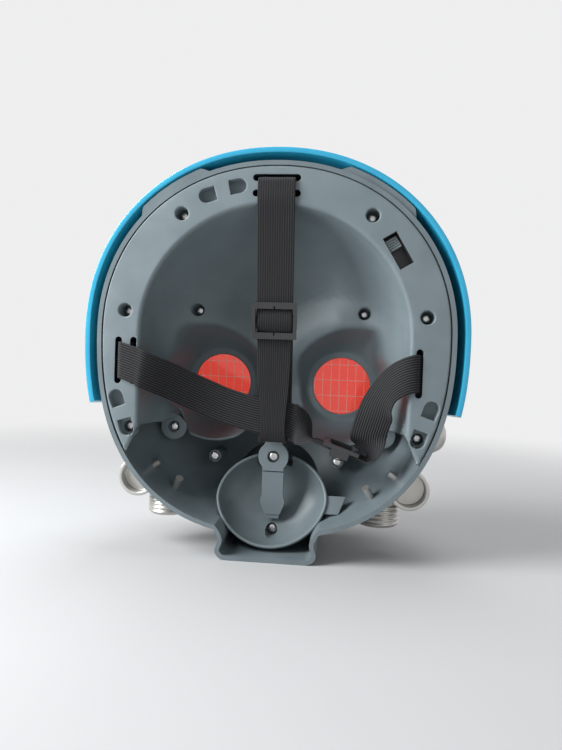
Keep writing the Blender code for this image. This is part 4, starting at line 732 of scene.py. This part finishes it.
def clear_of_sockets(x, z, margin):
    """Whether a place is outside both eye sockets and clear of the bowl's bores."""
    for sign in (-1, 1):
        far = math.hypot(x - sign * EYE_X, z - EYE_Z)
        turn = math.atan2(z - EYE_Z, x - sign * EYE_X) % math.tau
        if far < socket_reach[sign][round(turn / math.tau * SOCKET_TURNS) % SOCKET_TURNS] + margin:
            return False
    return all(math.hypot(x - bx, z - bz) > 0.0052 for bx, bz, base in bores if base)


def tip_x(z, offset=0.0):
    """The inner edge of a rim tip at a height."""
    return 0.0721 + (0.0805 - 0.0721) * (TIP_TOP - z) / (TIP_TOP - 0.052) + offset


def inside(points, outline):
    """Which points lie in a closed outline."""
    x, z = points[:, 0], points[:, 1]
    found = np.zeros(len(points), bool)
    for (ax, az), (bx, bz) in zip(outline, outline[1:] + outline[:1]):
        crosses = (az > z) != (bz > z)
        found ^= crosses & (x < ax + (z - az) * (bx - ax) / (bz - az + 1e-15))
    return found


for depth in BOWL_ROWS:
    for x, z in bowl_ring(depth):
        if z > low_edge(depth) + 0.0005 and clear_of_sockets(x, z, 0.0008):
            places.append((x, z, depth - float(brow_at(x, z, depth))))
places.append((0, RIM_Z - (RIM_Z - APEX_Z) * BOWL_DEPTH / SHELL_DEPTH, bowl_depth(0, 0.1155)))
edge_x = 0.0719 * np.sin(np.linspace(-math.pi / 2, math.pi / 2, 181))
low, high = np.full_like(edge_x, 0.0598), np.full_like(edge_x, 0.0840)
for _ in range(40):
    edge_z = (low + high) / 2
    below = edge_z < low_edge(bowl_at(edge_x, edge_z))
    low, high = np.where(below, edge_z, low), np.where(below, high, edge_z)
edge_depth = np.maximum(WALL_TOP, bowl_at(edge_x, edge_z))
clear = [clear_of_sockets(x, z, 0.0004) for x, z in zip(edge_x, edge_z)]
for i in range(len(edge_x) - 1):
    if clear[i]:
        places.append((edge_x[i], edge_z[i], edge_depth[i]))
        if clear[i + 1]:
            loops.append((len(places) - 1, len(places)))
places.append((edge_x[-1], edge_z[-1], edge_depth[-1]))
for sign in (-1, 1):
    for offset, depth in ((0.0, 0.0020), (0.0004, 0.0010), (0.0011, 0.0003), (0.0024, 0.0)):
        inner = [(sign * tip_x(z, offset), z) for z in np.linspace(TIP_TOP, 0.0480, 14)]
        level_ring(inner, depth, closed=False)
    edge_ring([(sign * tip_x(TIP_END, -0.001), TIP_END, 0.0020), (sign * 0.0830, TIP_END, 0.0010)],
              closed=False)

flat = [Vector((x, z)) for x, z, depth in places]
points, _, faces, origin, _, _ = delaunay_2d_cdt(flat, loops, [], 0, 1e-6, True)
points = np.array([tuple(point) for point in points])
depths = bowl_at(points[:, 0], points[:, 1])
for i, source in enumerate(origin):
    if source:
        depths[i] = places[source[0]][2]
middles = np.array([points[list(face)].mean(axis=0) for face in faces])
x, z = middles[:, 0], middles[:, 1]
in_bowl = oval_share(x, z, *BOWL, BOWL_POWERS) < 1
rim = oval_share(x, z, *(size - RIM_GAP for size in (SHELL_HALF, SHELL_UP, SHELL_DOWN)), SHELL_POWERS) < 1
rim &= ~in_bowl & ((z > TIP_TOP) | ((np.abs(x) > tip_x(z)) & (z > TIP_END)))
keep = rim | (in_bowl & (z > low_edge(bowl_at(x, z))))
for sign in (-1, 1):
    keep |= inside(middles, socket_outline[sign])
    keep &= np.hypot(x - sign * EYE_X, z - EYE_Z) > SOCKET_FOOT[0][0]
for outlines in cuts:
    keep &= ~inside(middles, outlines[-1])
face_side = bmesh.new()
verts = [face_side.verts.new(at(x, depth, z)) for (x, z), depth in zip(points, depths)]
for face, wanted in zip(faces, keep):
    if wanted:
        face_side.faces.new([verts[i] for i in face])
bmesh.ops.delete(face_side, geom=[vert for vert in face_side.verts if not vert.link_faces], context="VERTS")
face_side.normal_update()
bmesh.ops.reverse_faces(face_side, faces=[face for face in face_side.faces if face.normal.y > 0])
liner = as_piece("face_liner", face_side, liner_grey)
wall = liner.modifiers.new("wall", "SOLIDIFY")
wall.thickness = LINER_WALL
wall.offset = -1
finished(liner, "grey_plastic", "rear_liner")

# Eye lugs of the liner: a round ear moulded under each eye socket, counterbored for a screw into the shell.
# The bore is as deep as the screw's head is high.
LUG_X, LUG_Z = 0.0625, 0.0672
lug = rounded([(0.0014, 0.0018), (0.0035, 0.0018), (0.0035, 0.0), (0.0080, 0.0), (0.0080, 0.0038),
               (0.0014, 0.0038), (0.0014, 0.0018)], 0.0005)
lugs = gathered([spun(lug, at(sign * LUG_X, 0.0374, LUG_Z)) for sign in (-1, 1)])
lugs = as_piece("eye_lugs", lugs, liner_grey)
eyes = [forward_rod(sign * EYE_X, EYE_Z, 0.030, 0.046, 0.0300, 96) for sign in (-1, 1)]
shaped(lugs, eyes, "DIFFERENCE")
finished(lugs, "grey_plastic")

# Screws: zinc-plated self-tapping screws with a domed head and a cross recess, each turned home at its own
# angle. They hold the liner, the mouth cup and the lever to the shell.
CUP_SCREW_Z, LEVER_SCREW_Z = 0.0100, 0.0532
HEAD_RISE, RECESS = 0.0021, (0.0027, 0.0019, 0.00055)
zinc = moulded("zinc_plate", (0.50, 0.50, 0.51), (0.64, 0.63, 0.62), (0.22, 0.34), 0.0003, 0.00001)
zinc.node_tree.nodes["Principled BSDF"].inputs["Metallic"].default_value = 1.0
head = [(0, 0), (0.0009, 0.00003), (0.0017, 0.0002), (0.0023, 0.0005), (0.0027, 0.0010), (0.0028, 0.0014),
        (0.0028, 0.0018), (0.0011, 0.0018), (0.0011, 0.0080), (0, 0.0105)]
screws = as_piece("screws", spun(head, (0, 0, 0), steps=40), zinc)
shaped(screws, [block((0, 0, 0), RECESS), block((0, 0, 0), RECESS[::-1])], "DIFFERENCE")
seats = [(0, CUP_SCREW_Z, 0.0345), (0, LEVER_SCREW_Z, 0.0295)]
names = ["cup_screw", "lever_screw"]
for side, sign in (("left", -1), ("right", 1)):
    seats += [(sign * x, z, BORE_FLOOR) for x, z in (*RIM_BORES, WELL_BORE)]
    seats += [(sign * BOWL_BORE[0], BOWL_BORE[1], bowl_depth(*BOWL_BORE) + BORE_FLOOR),
              (sign * LUG_X, LUG_Z, 0.0392), (sign * CHEEK_X, CHEEK_Z, CHEEK_DEPTH)]
    names += [f"{kind}_screw_{side}" for kind in ("upper", "side", "well", "bowl", "eye", "cheek")]
copies = []
for i, (x, z, floor) in enumerate(seats):
    copy = bmesh.new()
    copy.from_mesh(screws.data)
    turn = Matrix.Translation(at(x, floor - HEAD_RISE, z)) @ Matrix.Rotation(0.9 * i, 4, "Y")
    bmesh.ops.transform(copy, matrix=turn, verts=copy.verts)
    copies.append(copy)
gathered(copies).to_mesh(screws.data)
finished(screws, "steel", *names)

# Eye lenses: thin discs of clear plastic with a faint grid moulded in. Their red colour is painted light: the
# light of a red wall seen through a clear lens, put in as a tint. Each is clamped between the ring of its eye
# socket and the bezel in front of it.
GRID_PITCH, GRID_LINE = (("X", 0.0052), ("Z", 0.0098)), 0.00022
lens_painted_red, tree, shader = shader_of("lens_painted_red")
split = added(tree, "SeparateXYZ", {0: added(tree, "TexCoord").outputs["Object"]}).outputs
lines = []
for axis, pitch in GRID_PITCH:
    wave = added(tree, "Math", {0: split[axis], 1: pitch / 2}, operation="PINGPONG")
    lines.append(added(tree, "Math", {0: wave.outputs[0], 1: GRID_LINE}, operation="LESS_THAN").outputs[0])
grid = added(tree, "Math", {0: lines[0], 1: lines[1]}, operation="MAXIMUM").outputs[0]
# Painted light: the red base colour stands in for a red wall's light seen through a clear lens; the grid
# lines are paler.
base_colour = added(tree, "Mix", {"Factor": grid, "A": (0.90, 0.080, 0.055, 1), "B": (0.95, 0.34, 0.30, 1)},
             data_type="RGBA")
tree.links.new(base_colour.outputs["Result"], shader.inputs["Base Color"])
passing = added(tree, "MapRange", {"Value": grid, "To Min": 0.90, "To Max": 0.62})
tree.links.new(passing.outputs["Result"], shader.inputs["Transmission Weight"])
shader.inputs["Roughness"].default_value = 0.10
shader.inputs["IOR"].default_value = 1.46
disc = rounded([(0, 0), (0.0210, 0), (0.0210, 0.0020), (0, 0.0020)], 0.0004)
for side, sign in (("left", -1), ("right", 1)):
    lens_disc = as_piece(f"lens_{side}", spun(disc, at(sign * EYE_X, 0.0643, EYE_Z), steps=96), lens_painted_red)
    finished(lens_disc, "tinted_lens", f"eye_lens_{side}")

# Goggle bezels: silver-painted plastic rings with a stepped face, like turned ones. Each plugs into its
# goggle pad from the front and keeps the lens in place.
silver = moulded("silver_paint", (0.50, 0.49, 0.46), (0.60, 0.58, 0.545), (0.26, 0.36), 0.00022, 0.000008)
silver.node_tree.nodes["Principled BSDF"].inputs["Metallic"].default_value = 0.72
ring = rounded([(0.0196, 0.0666), (0.0222, 0.0666), (0.0222, 0.0818), (0.0310, 0.0818), (0.0310, 0.0836),
                (0.0294, 0.0852), (0.0274, 0.0852), (0.0269, 0.0845), (0.0244, 0.0845), (0.0239, 0.0852),
                (0.0222, 0.0852), (0.0196, 0.0666)], 0.0005)
for side, sign in (("left", -1), ("right", 1)):
    bezel = as_piece(f"bezel_{side}", spun(ring, at(sign * EYE_X, 0, EYE_Z), steps=128), silver)
    finished(bezel, "silver_plastic", f"lens_bezel_{side}")

# Muzzle cap: a silver-painted plastic disc pressed into the front of the snout. Its middle is slotted so
# that the speaker behind it is heard.
GRILLE_RADIUS, SLAT_PITCH, SLAT_GAP = 0.0126, 0.0048, 0.0024
cap = rounded([(0, 0.0819), (GRILLE_RADIUS, 0.0819), (GRILLE_RADIUS, 0.0843), (0.0275, 0.0843),
               (0.0275, 0.0864), (0.0256, 0.0885), (0.0226, 0.0885), (0.0220, 0.0878), (0.0168, 0.0878),
               (0.0160, 0.0885), (0, 0.0885)], 0.0006)
cap = as_piece("muzzle_grille", spun(cap, at(0, 0, SNOUT_Z), steps=128), silver)
slots = []
for i in range(-2, 3):
    half = math.sqrt(GRILLE_RADIUS ** 2 - (i * SLAT_PITCH) ** 2) - SLAT_GAP
    middle = at(0, 0.0852, SNOUT_Z + i * SLAT_PITCH)
    slots.append(block(middle, (2 * half, 0.016, SLAT_GAP), soft_edge=0.0009))
shaped(cap, slots, "DIFFERENCE")
finished(cap, "silver_plastic", "muzzle_cap", soft_edge=0.0003)

# Mouth cup: an oval grey bowl before the mouth, tilted to face up, with a thin round lip that is open at the
# top for the lever. A flat ear locates it on the right and a screw through its floor holds it to the snout.
CUP_MIDDLE, CUP_TILT = at(0, 0.024, 0.0295), math.radians(29.5)
CUP_UP = Vector((0, math.sin(CUP_TILT), math.cos(CUP_TILT)))
CUP_OUT = Vector((0, -CUP_UP.z, CUP_UP.y))
CUP_HALF, CUP_RISE, CUP_DEEP, CUP_WALL = 0.0322, 0.0284, 0.018, 0.0018
CUP_EAR = ((0.0275, -0.0070), (0.0385, -0.0070), (0.0425, 0.0036), (0.0275, 0.0036))
PIN_Z = 0.0242
cup_grey = moulded("cup_grey", (0.135, 0.168, 0.180), (0.165, 0.202, 0.215), (0.32, 0.44))


def cup_point(grow, turn, around, lift=0.0):
    """A place on the cup's skin: turn 0 at its lip and a quarter turn at its floor."""
    narrow = 1 + 0.08 * min(0.0, math.sin(around))
    sideways = Vector(((CUP_HALF + grow) * narrow * math.cos(turn) * math.cos(around), 0, 0))
    upward = (CUP_RISE + grow) * math.cos(turn) * math.sin(around) * CUP_UP
    return CUP_MIDDLE + sideways + upward - ((CUP_DEEP + grow) * math.sin(turn) - lift) * CUP_OUT


def cup_skin(u, v):
    """The cup from the outside of its floor, over its rolled lip, to the inside of its floor."""
    around = math.tau * u
    if v < 0.45:
        return cup_point(0.0, math.pi / 2 * (1 - v / 0.45), around)
    if v < 0.55:
        bend = math.pi * (v - 0.45) / 0.10
        return cup_point(-0.0009 + 0.0009 * math.cos(bend), 0.0, around, 0.0007 * math.sin(bend))
    return cup_point(-CUP_WALL, math.pi / 2 * (v - 0.55) / 0.45, around)


def cup_hollow(u, v):
    """The space in the cup and over its lip."""
    around = math.tau * u
    if v < 0.8:
        return cup_point(-CUP_WALL, math.pi / 2 * (1 - v / 0.8), around)
    if v < 0.9:
        return cup_point(-CUP_WALL, 0.0, around, 0.08 * (v - 0.8))
    return cup_point(-CUP_WALL, 0.0, around, 0.008).lerp(CUP_MIDDLE + 0.008 * CUP_OUT, (v - 0.9) / 0.1)


cup = as_piece("mouth_bowl", laid(144, 60, cup_skin), cup_grey)
ear = [CUP_MIDDLE + Vector((x, 0, 0)) + up * CUP_UP - 0.0006 * CUP_OUT for x, up in CUP_EAR]
shaped(cup, [slab(ear, -0.0018 * CUP_OUT), forward_rod(0, CUP_SCREW_Z, 0.0260, 0.0365, 0.0049),
             forward_rod(0, PIN_Z, 0.0315, 0.0475, 0.0044)], "UNION")
notch = block(CUP_MIDDLE + 0.0290 * CUP_UP, (0.0210, 0.018, 0.0140), up=CUP_UP, soft_edge=0.0016)
shaped(cup, [laid(144, 40, cup_hollow), notch, forward_rod(0, CUP_SCREW_Z, 0.010, 0.0345, 0.0035, 48),
             forward_rod(0, CUP_SCREW_Z, 0.030, 0.042, 0.0014),
             forward_rod(0, PIN_Z, 0.0280, 0.0535, 0.0026)], "DIFFERENCE")
finished(cup, "grey_plastic", "mouth_cup", soft_edge=0.00035)

# Lever: a flat grey paddle. Its round head is screwed to the snout and its tongue hangs into the mouth cup,
# where the wearer's mouth presses it; the neck between them bends.
HEAD_RADIUS, STEM_HALF, NECK_HALF = 0.0088, 0.0050, 0.0062
BEND, LEVER_TILT = at(0, 0.0282, 0.0445), math.radians(5)
LEVER_DOWN = Vector((0, math.sin(LEVER_TILT), -math.cos(LEVER_TILT)))
LEVER_BACK = Vector((0, LEVER_DOWN.z, -LEVER_DOWN.y))
lever_grey = moulded("lever_grey", (0.160, 0.200, 0.217), (0.190, 0.232, 0.250), (0.34, 0.46))


def mirrored(half):
    """A whole outline from its right half."""
    return half + [(-x, height) for x, height in reversed(half)]


start, end = math.asin(STEM_HALF / HEAD_RADIUS), math.pi - math.asin(NECK_HALF / HEAD_RADIUS)
half = [(STEM_HALF, 0.0643)]
for i in range(29):
    turn = start + (end - start) * i / 28
    half.append((HEAD_RADIUS * math.sin(turn), LEVER_SCREW_Z + HEAD_RADIUS * math.cos(turn)))
half.append((NECK_HALF, 0.0448))
lever_head = slab([at(x, 0.0270, z) for x, z in mirrored(half)], (0, 0.0045, 0))
lever_head = as_piece("lever_base", lever_head, lever_grey)
shaped(lever_head, [forward_rod(0, LEVER_SCREW_Z, 0.020, 0.0295, 0.0035, 48),
                    forward_rod(0, LEVER_SCREW_Z, 0.028, 0.034, 0.0014)], "DIFFERENCE")
finished(lever_head, "grey_plastic", "lever_head", soft_edge=0.0005)


def on_tongue(points, back):
    """Places on the tongue from (x, distance below the bend), at a distance towards the face."""
    return [BEND + Vector((x, 0, 0)) + down * LEVER_DOWN + back * LEVER_BACK for x, down in points]


half = curve([Vector((x, 0, down)) for x, down in (
    (NECK_HALF, 0.0002), (NECK_HALF, 0.0060), (NECK_HALF, 0.0125), (0.0064, 0.0146), (0.0072, 0.0172),
    (0.0069, 0.0192), (0.0054, 0.0232), (0.0045, 0.0254))], 5)
outline = mirrored([(point.x, point.z) for point in half])
tongue = as_piece("lever_tongue", slab(on_tongue(outline, 0.0012), -0.0024 * LEVER_BACK), lever_grey)
outline = mirrored([(0.0041, 0.0240), (0.0041, 0.0272), (0.0034, 0.0280)])
shaped(tongue, [slab(on_tongue(outline, 0.0006), -0.0018 * LEVER_BACK)], "UNION")
finished(tongue, "grey_plastic", "mouth_lever", soft_edge=0.0005, body="mouth_lever")

# Trigger plunger: a dark plastic pin with rounded ends behind the lever's tongue. It slides in a boss in the
# cup's floor and presses the trigger switch behind it.
pin_black = moulded("pin_black", (0.028, 0.029, 0.031), (0.042, 0.043, 0.046), (0.34, 0.46))
pin = rounded([(0, 0), (0.0022, 0), (0.0022, 0.0192), (0, 0.0192)], 0.0005)
pin = as_piece("trigger_pin", spun(pin, at(0, 0.03148, 0.02421)), pin_black)
finished(pin, "dark_plastic", "trigger_plunger", body="trigger_plunger")

# Slide switch knob: a small grey slider with ridges across it for the finger, its grey painted paler as
# painted light against the shade of its well. It runs in a black switch body behind the window in the rim.
SWITCH_DOWN = Vector((math.sin(SWITCH_LEAN), 0, -math.cos(SWITCH_LEAN)))
SWITCH_SIDE = Vector((math.cos(SWITCH_LEAN), 0, math.sin(SWITCH_LEAN)))
switch_grey_painted_light = moulded("switch_grey_painted_light", (0.30, 0.36, 0.38), (0.36, 0.42, 0.44), (0.34, 0.46))
middle = at(SWITCH_X, 0.0058, SWITCH_Z) - 0.0048 * SWITCH_DOWN
knob = block(middle, (0.0070, 0.0042, 0.0064), SWITCH_SIDE, SWITCH_DOWN, 0.0005)
knob = as_piece("switch_slider", knob, switch_grey_painted_light)
grooves = [block(middle + Vector((0, -0.0022, 0)) + i * 0.0013 * SWITCH_DOWN, (0.009, 0.0016, 0.0006),
                 SWITCH_SIDE, SWITCH_DOWN) for i in (-1.5, -0.5, 0.5, 1.5)]
shaped(knob, grooves, "DIFFERENCE")
finished(knob, "grey_plastic", "switch_knob", soft_edge=0.0002, body="switch_knob")

# Works inside the shell: black switch bodies, battery box and speaker, steel button cells and a green board.
# They are plain bought-in parts, fixed between the liner and the shell.
board_green = moulded("board_green", (0.010, 0.090, 0.040), (0.020, 0.135, 0.060), (0.36, 0.5), 0.0012,
                      0.00002)


def kept(node, finish, soft_edge):
    """A CAD node that stays in the model, with a finish and soft edges."""
    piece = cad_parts[node]
    piece.data.materials.clear()
    piece.data.materials.append(finish)
    bevel = piece.modifiers.new("soft_edges", "BEVEL")
    bevel.width = soft_edge
    bevel.segments = 2
    bevel.limit_method = "ANGLE"


for node in ("switch_body", "trigger_switch", "battery_box", "speaker"):
    kept(node, pin_black, 0.0003)
for node in ("battery_cell_1", "battery_cell_2"):
    kept(node, zinc, 0.0004)
kept("circuit_board", board_green, 0.0001)

# Jaw fittings: three silver-painted plastic mouldings a side, shaped to the shell and held by pegs through
# its wall. From the top: a plain knob, a disc that is hollow at the rear and a canister with rings round it.
PEG_RADIUS = 0.0022
knob_turned = rounded([(0, -0.0115), (0.0108, -0.0115), (0.0108, 0.0060), (0.0090, 0.0105), (0.0062, 0.0115),
                       (0.0054, 0.0108), (0, 0.0108)], 0.0012)
disc_turned = rounded([(0, 0.0060), (0.0090, 0.0060), (0.0090, 0.0), (0.0112, 0.0), (0.0112, 0.0098),
                       (0.0090, 0.0120), (0, 0.0120)], 0.0008)
canister_turned = [(0, 0), (0.0106, 0)]
for i in range(65):
    canister_turned.append((0.0112 + 0.0008 * math.sin(math.pi * 8 * i / 64) ** 2, 0.0006 + 0.0188 * i / 64))
canister_turned += [(0.0106, 0.0200), (0, 0.0200)]


def fitting(name, node, solid, cuts, peg_start, peg_end):
    """A fitting cut to the shell's outside, with a peg through the wall."""
    piece = as_piece(name, solid, silver)
    shaped(piece, [dome(0.0003, -0.003)] + cuts, "DIFFERENCE")
    shaped(piece, [rod(peg_start, peg_end, PEG_RADIUS)], "UNION")
    finished(piece, "silver_plastic", node, soft_edge=0.0003)


for side, sign in (("left", -1), ("right", 1)):
    base, axis = at(sign * 0.0843, 0.030, 0.0700), Vector((sign * 0.84, 0.52, -0.10)).normalized()
    fitting(f"knob_{side}", f"cheek_knob_{side}", spun(knob_turned, base, axis, 96), [],
            base + 0.0057 * axis, base - 0.0052 * axis)
    base, low = at(sign * 0.0768, 0.015, 0.0400), at(sign * 0.0610, 0.028, 0.0180)
    core = base + Vector((0, 0.0090, 0))
    room = rod(low - Vector((0, 0, 0.006)), low + Vector((0, 0, 0.0224)), 0.0126, 64)
    fitting(f"disc_{side}", f"jaw_disc_{side}", spun(disc_turned, base, steps=96), [room],
            core, core + 0.0132 * Vector((-sign * 0.8, 0, 0.6)))
    core = low + Vector((0, 0, 0.008))
    inward = Vector((-sign * 0.45, -0.45, 0.77)).normalized()
    fitting(f"canister_{side}", f"jaw_canister_{side}", spun(canister_turned, low, (0, 0, 1), 96), [],
            core, core + 0.0174 * inward)

# Straps: flat black woven elastic with fine ribs along it, threaded through the rim's slots. The top one
# hangs from the crown and loops round the side one; the side one folds and turns into its slider.
STRAP_WIDTH, STRAP_HALF_THICK = 0.0200, 0.00055
PLATE, PROUD = 0.0034, 0.0014
elastic, tree, shader = shader_of("woven_elastic")
weave = added(tree, "Attribute", attribute_name="weave")
split = added(tree, "SeparateXYZ", {0: weave.outputs["Vector"]}).outputs


def threads(direction, pitch):
    """A wave of threads across one direction of the weave."""
    scaled = added(tree, "Math", {0: split[direction], 1: math.tau / pitch}, operation="MULTIPLY")
    return added(tree, "Math", {0: scaled.outputs[0]}, operation="SINE").outputs[0]


ribs, picks = threads("X", 0.00130), threads("Y", 0.00062)
lift = added(tree, "MapRange", {"Value": ribs, "From Min": -1.0})
# The base colour is lighter on each rib's crest, every 1.3 mm across the strap: painted highlight, as if
# light caught the ribs.
crest_highlight_ramp = added(tree, "ValToRGB", {"Fac": lift.outputs["Result"]})
crest_highlight_ramp.color_ramp.elements[0].color = (0.010, 0.010, 0.011, 1)
crest_highlight_ramp.color_ramp.elements[1].color = (0.052, 0.052, 0.054, 1)
crest_highlight_ramp.color_ramp.elements[1].position = 0.98
crest_highlight_ramp.color_ramp.elements.new(0.62).color = (0.014, 0.014, 0.015, 1)
tree.links.new(crest_highlight_ramp.outputs["Color"], shader.inputs["Base Color"])
crossed = added(tree, "Math", {0: ribs, 1: picks}, operation="MULTIPLY")
bump = added(tree, "Bump", {"Height": crossed.outputs[0], "Strength": 0.6, "Distance": 0.00006})
tree.links.new(bump.outputs["Normal"], shader.inputs["Normal"])
shader.inputs["Roughness"].default_value = 0.78
shader.inputs["Sheen Weight"].default_value = 0.06
shader.inputs["Specular IOR Level"].default_value = 0.2


def rib_height(share):
    """The strap's height at a share of its half width, 1 at most: low ribs and thin edges."""
    rib = 1 - 0.14 * (1 - math.cos(math.tau * share * 7.5))
    return rib * min(1.0, 4 * math.sqrt(max(0.02, 1 - abs(share))))


strap_section = [(share, rib_height(share)) for share in (-1 + 2 * i / 62 for i in range(63))]
strap_section += [(share, -height) for share, height in reversed(strap_section)]


def ribbon(name, stations, steps, width=STRAP_WIDTH, shares=None):
    """A strap through stations of a place and the direction of its width, drawn in where shares are given."""
    centres = curve([place for place, _ in stations], steps)
    widths = curve([Vector(toward).normalized() for _, toward in stations], steps)
    drawn = curve([Vector((share, 0, 0)) for share in shares or [1] * len(stations)], steps)
    along = [0.0]
    for near, far in zip(centres, centres[1:]):
        along.append(along[-1] + (far - near).length)
    last = len(centres) - 1
    sheet = bmesh.new()
    bmesh.ops.create_grid(sheet, x_segments=len(strap_section), y_segments=last, size=0.5)
    layer = sheet.verts.layers.float_vector.new("weave")
    for vert in sheet.verts:
        share, height = strap_section[round((vert.co.x + 0.5) * len(strap_section)) % len(strap_section)]
        i = round((vert.co.y + 0.5) * last)
        sideways = widths[i].normalized()
        thick = (centres[min(i + 1, last)] - centres[max(i - 1, 0)]).cross(sideways).normalized()
        vert.co = centres[i] + sideways * share * width / 2 * drawn[i].x + thick * height * STRAP_HALF_THICK
        vert[layer] = (share * width / 2, along[i], 0)
    bmesh.ops.remove_doubles(sheet, verts=sheet.verts, dist=1e-7)
    return as_piece(name, capped(sheet), elastic)


run_top, run_low = at(0, 0.0061, 0.1580), at(0, 0.0160, 0.0980)
top = [at(0, depth, z) for depth, z in (
    (PLATE, 0.19777), (PLATE, 0.20185), (0.002, 0.2057), (0.001, 0.2060), (-0.00098, 0.20464),
    (-PROUD, 0.20185), (-PROUD, 0.1943), (0.0008, 0.1845), (0.0032, 0.1730))]
top += [run_top] + [run_top.lerp(run_low, i / 3) for i in (1, 2, 3)]
top += [at(0, depth, z) for depth, z in (
    (0.0172, 0.0890), (0.0177, 0.0800), (0.0181, 0.0690), (0.0204, 0.0630), (0.0229, 0.0668),
    (0.0230, 0.0765))]
drawn_in = [1] * 11 + [0.96, 0.89, 0.82, 0.74, 0.70, 0.80, 0.84, 0.84]
crown_strap = ribbon("crown_strap", [(place, (1, 0, 0)) for place in top], 8, shares=drawn_in)
finished(crown_strap, "elastic_web", "top_strap")
toward_face = Vector((0, -0.98666, -0.16280))
tail = [run_top.lerp(run_low, share) - 0.0042 * toward_face for share in (0.40, 0.67, 0.94)]
tail.append(at(0, 0.0230, 0.0782))
strap_tail = ribbon("crown_strap_tail", [(place, (1, 0, 0)) for place in tail], 14)
finished(strap_tail, "elastic_web", "top_strap_tail")

run_near, run_far = at(0.0220, 0.0180, 0.0657), at(0.0500, 0.0180, 0.0564)
leaning, upright, depthwise = (0.30, 0, 0.954), (0, 0, 1), (0, 1, 0)
side = [(at(x, depth, z), toward) for x, depth, z, toward in (
    (-0.07719, PLATE, 0.1064, upright), (-0.08025, PLATE, 0.1064, upright), (-0.0841, 0.002, 0.1064, upright),
    (-0.0844, 0.001, 0.1064, upright), (-0.08304, -0.00098, 0.1064, upright),
    (-0.08025, -PROUD, 0.1056, upright),
    (-0.07406, -0.0017, 0.10368, (0.06, 0, 1)), (-0.0700, -0.0017, 0.1018, (0.16, 0, 1)),
    (-0.0640, 0.0018, 0.0990, (0.22, 0, 1)), (-0.0570, 0.0075, 0.0957, leaning),
    (-0.0490, 0.0130, 0.0915, leaning), (-0.0390, 0.0175, 0.0870, leaning),
    (-0.0270, 0.0198, 0.0822, leaning), (-0.0110, 0.0203, 0.0780, (0.2, 0, 1)),
    (0.0, 0.0203, 0.0765, (0.12, 0, 1)),
    (0.0085, 0.0204, 0.0754, (0.12, 0, 1)), (0.0130, 0.0204, 0.0738, (0.16, 0.02, 1)),
    (0.0180, 0.0194, 0.0694, (0.35, 0.75, 0.7)))]
side.append((run_near, depthwise))
side += [(run_near.lerp(run_far, share), depthwise) for share in (0.12, 0.4, 0.7, 1)]
side += [(at(x, depth, z), toward) for x, depth, z, toward in (
    (0.0530, 0.0178, 0.0554, depthwise), (0.0553, 0.0174, 0.0566, (-0.12, 0.99, 0)),
    (0.0556, 0.0168, 0.0594, (-0.36, 0.93, 0)), (0.0545, 0.0158, 0.0630, (-0.72, 0.69, 0)),
    (0.0533, 0.0140, 0.0682, (-0.98, 0.16, 0)), (0.0546, 0.0122, 0.0745, (-0.97, 0.20, 0.08)),
    (0.0562, 0.0100, 0.0802, (-0.92, 0.30, 0.22)), (0.0578, 0.0075, 0.0862, (-0.72, 0.45, 0.52)),
    (0.0602, 0.0045, 0.0922, (-0.42, 0.45, 0.78)), (0.0645, 0.0018, 0.0985, (-0.16, 0.25, 0.95)),
    (0.0692, -0.0008, 0.1020, (-0.05, 0.06, 1)), (0.0730, -0.0017, 0.1037, upright),
    (0.0763, -0.00112, 0.1044, upright), (0.07785, 0.001, 0.1044, upright), (0.07815, 0.002, 0.1044, upright),
    (0.08106, PLATE, 0.1044, upright), (0.08412, PLATE, 0.1044, upright))]
finished(ribbon("temple_strap", side, 6), "elastic_web", "side_strap")

# Strap sliders: flat black moulded frames with a bar behind the strap, and a small notch in the middle of
# each end bar. The strap bulges out through the crown slider's window and goes where the slider goes.
slider_black = moulded("slider_black", (0.020, 0.020, 0.022), (0.032, 0.032, 0.034), (0.20, 0.30), 0.0004,
                       0.000006, 0.6)


def slider(name, node, middle, run, width, toward):
    """A slider on a strap: a plate with a window towards the face, two cheeks and a bar behind the strap."""
    plate = middle + 0.00195 * toward
    piece = as_piece(name, block(plate, (0.0246, 0.0022, 0.0202), width, run), slider_black)
    notches = [block(plate + end * 0.0066 * run, (0.0007, 0.005, 0.0030), width, run) for end in (-1, 1)]
    shaped(piece, [block(plate, (0.0208, 0.0088, 0.0130), width, run)] + notches, "DIFFERENCE")
    cheeks = [block(middle + end * 0.01135 * width, (0.00171, 0.0058, 0.0101), width, run) for end in (-1, 1)]
    bar = block(middle - 0.00195 * toward, (0.0227, 0.00176, 0.0036), width, run)
    shaped(piece, cheeks + [bar], "UNION")
    finished(piece, "black_plastic", node, soft_edge=0.0005, body=node)


top_run, side_run = Vector((0, -0.16280, 0.98666)), Vector((0.949022, 0, -0.315211))
middle = run_top.lerp(run_low, 0.45)
slider("crown_slider", "top_buckle", middle, top_run, Vector((1, 0, 0)), toward_face)
bulge = [middle + share * 0.0060 * top_run + (0.0006 + 0.0014 * math.cos(math.pi / 2 * share)) * toward_face
         for share in (-1, -0.6, -0.2, 0.2, 0.6, 1)]
bulge = ribbon("strap_bulge", [(place, (1, 0, 0)) for place in bulge], 6, 0.0196)
finished(bulge, "elastic_web", body="top_buckle")
slider("temple_slider", "side_buckle", run_near.lerp(run_far, 0.58), side_run, Vector((0, 1, 0)),
       Vector((0.315211, 0, 0.949022)))
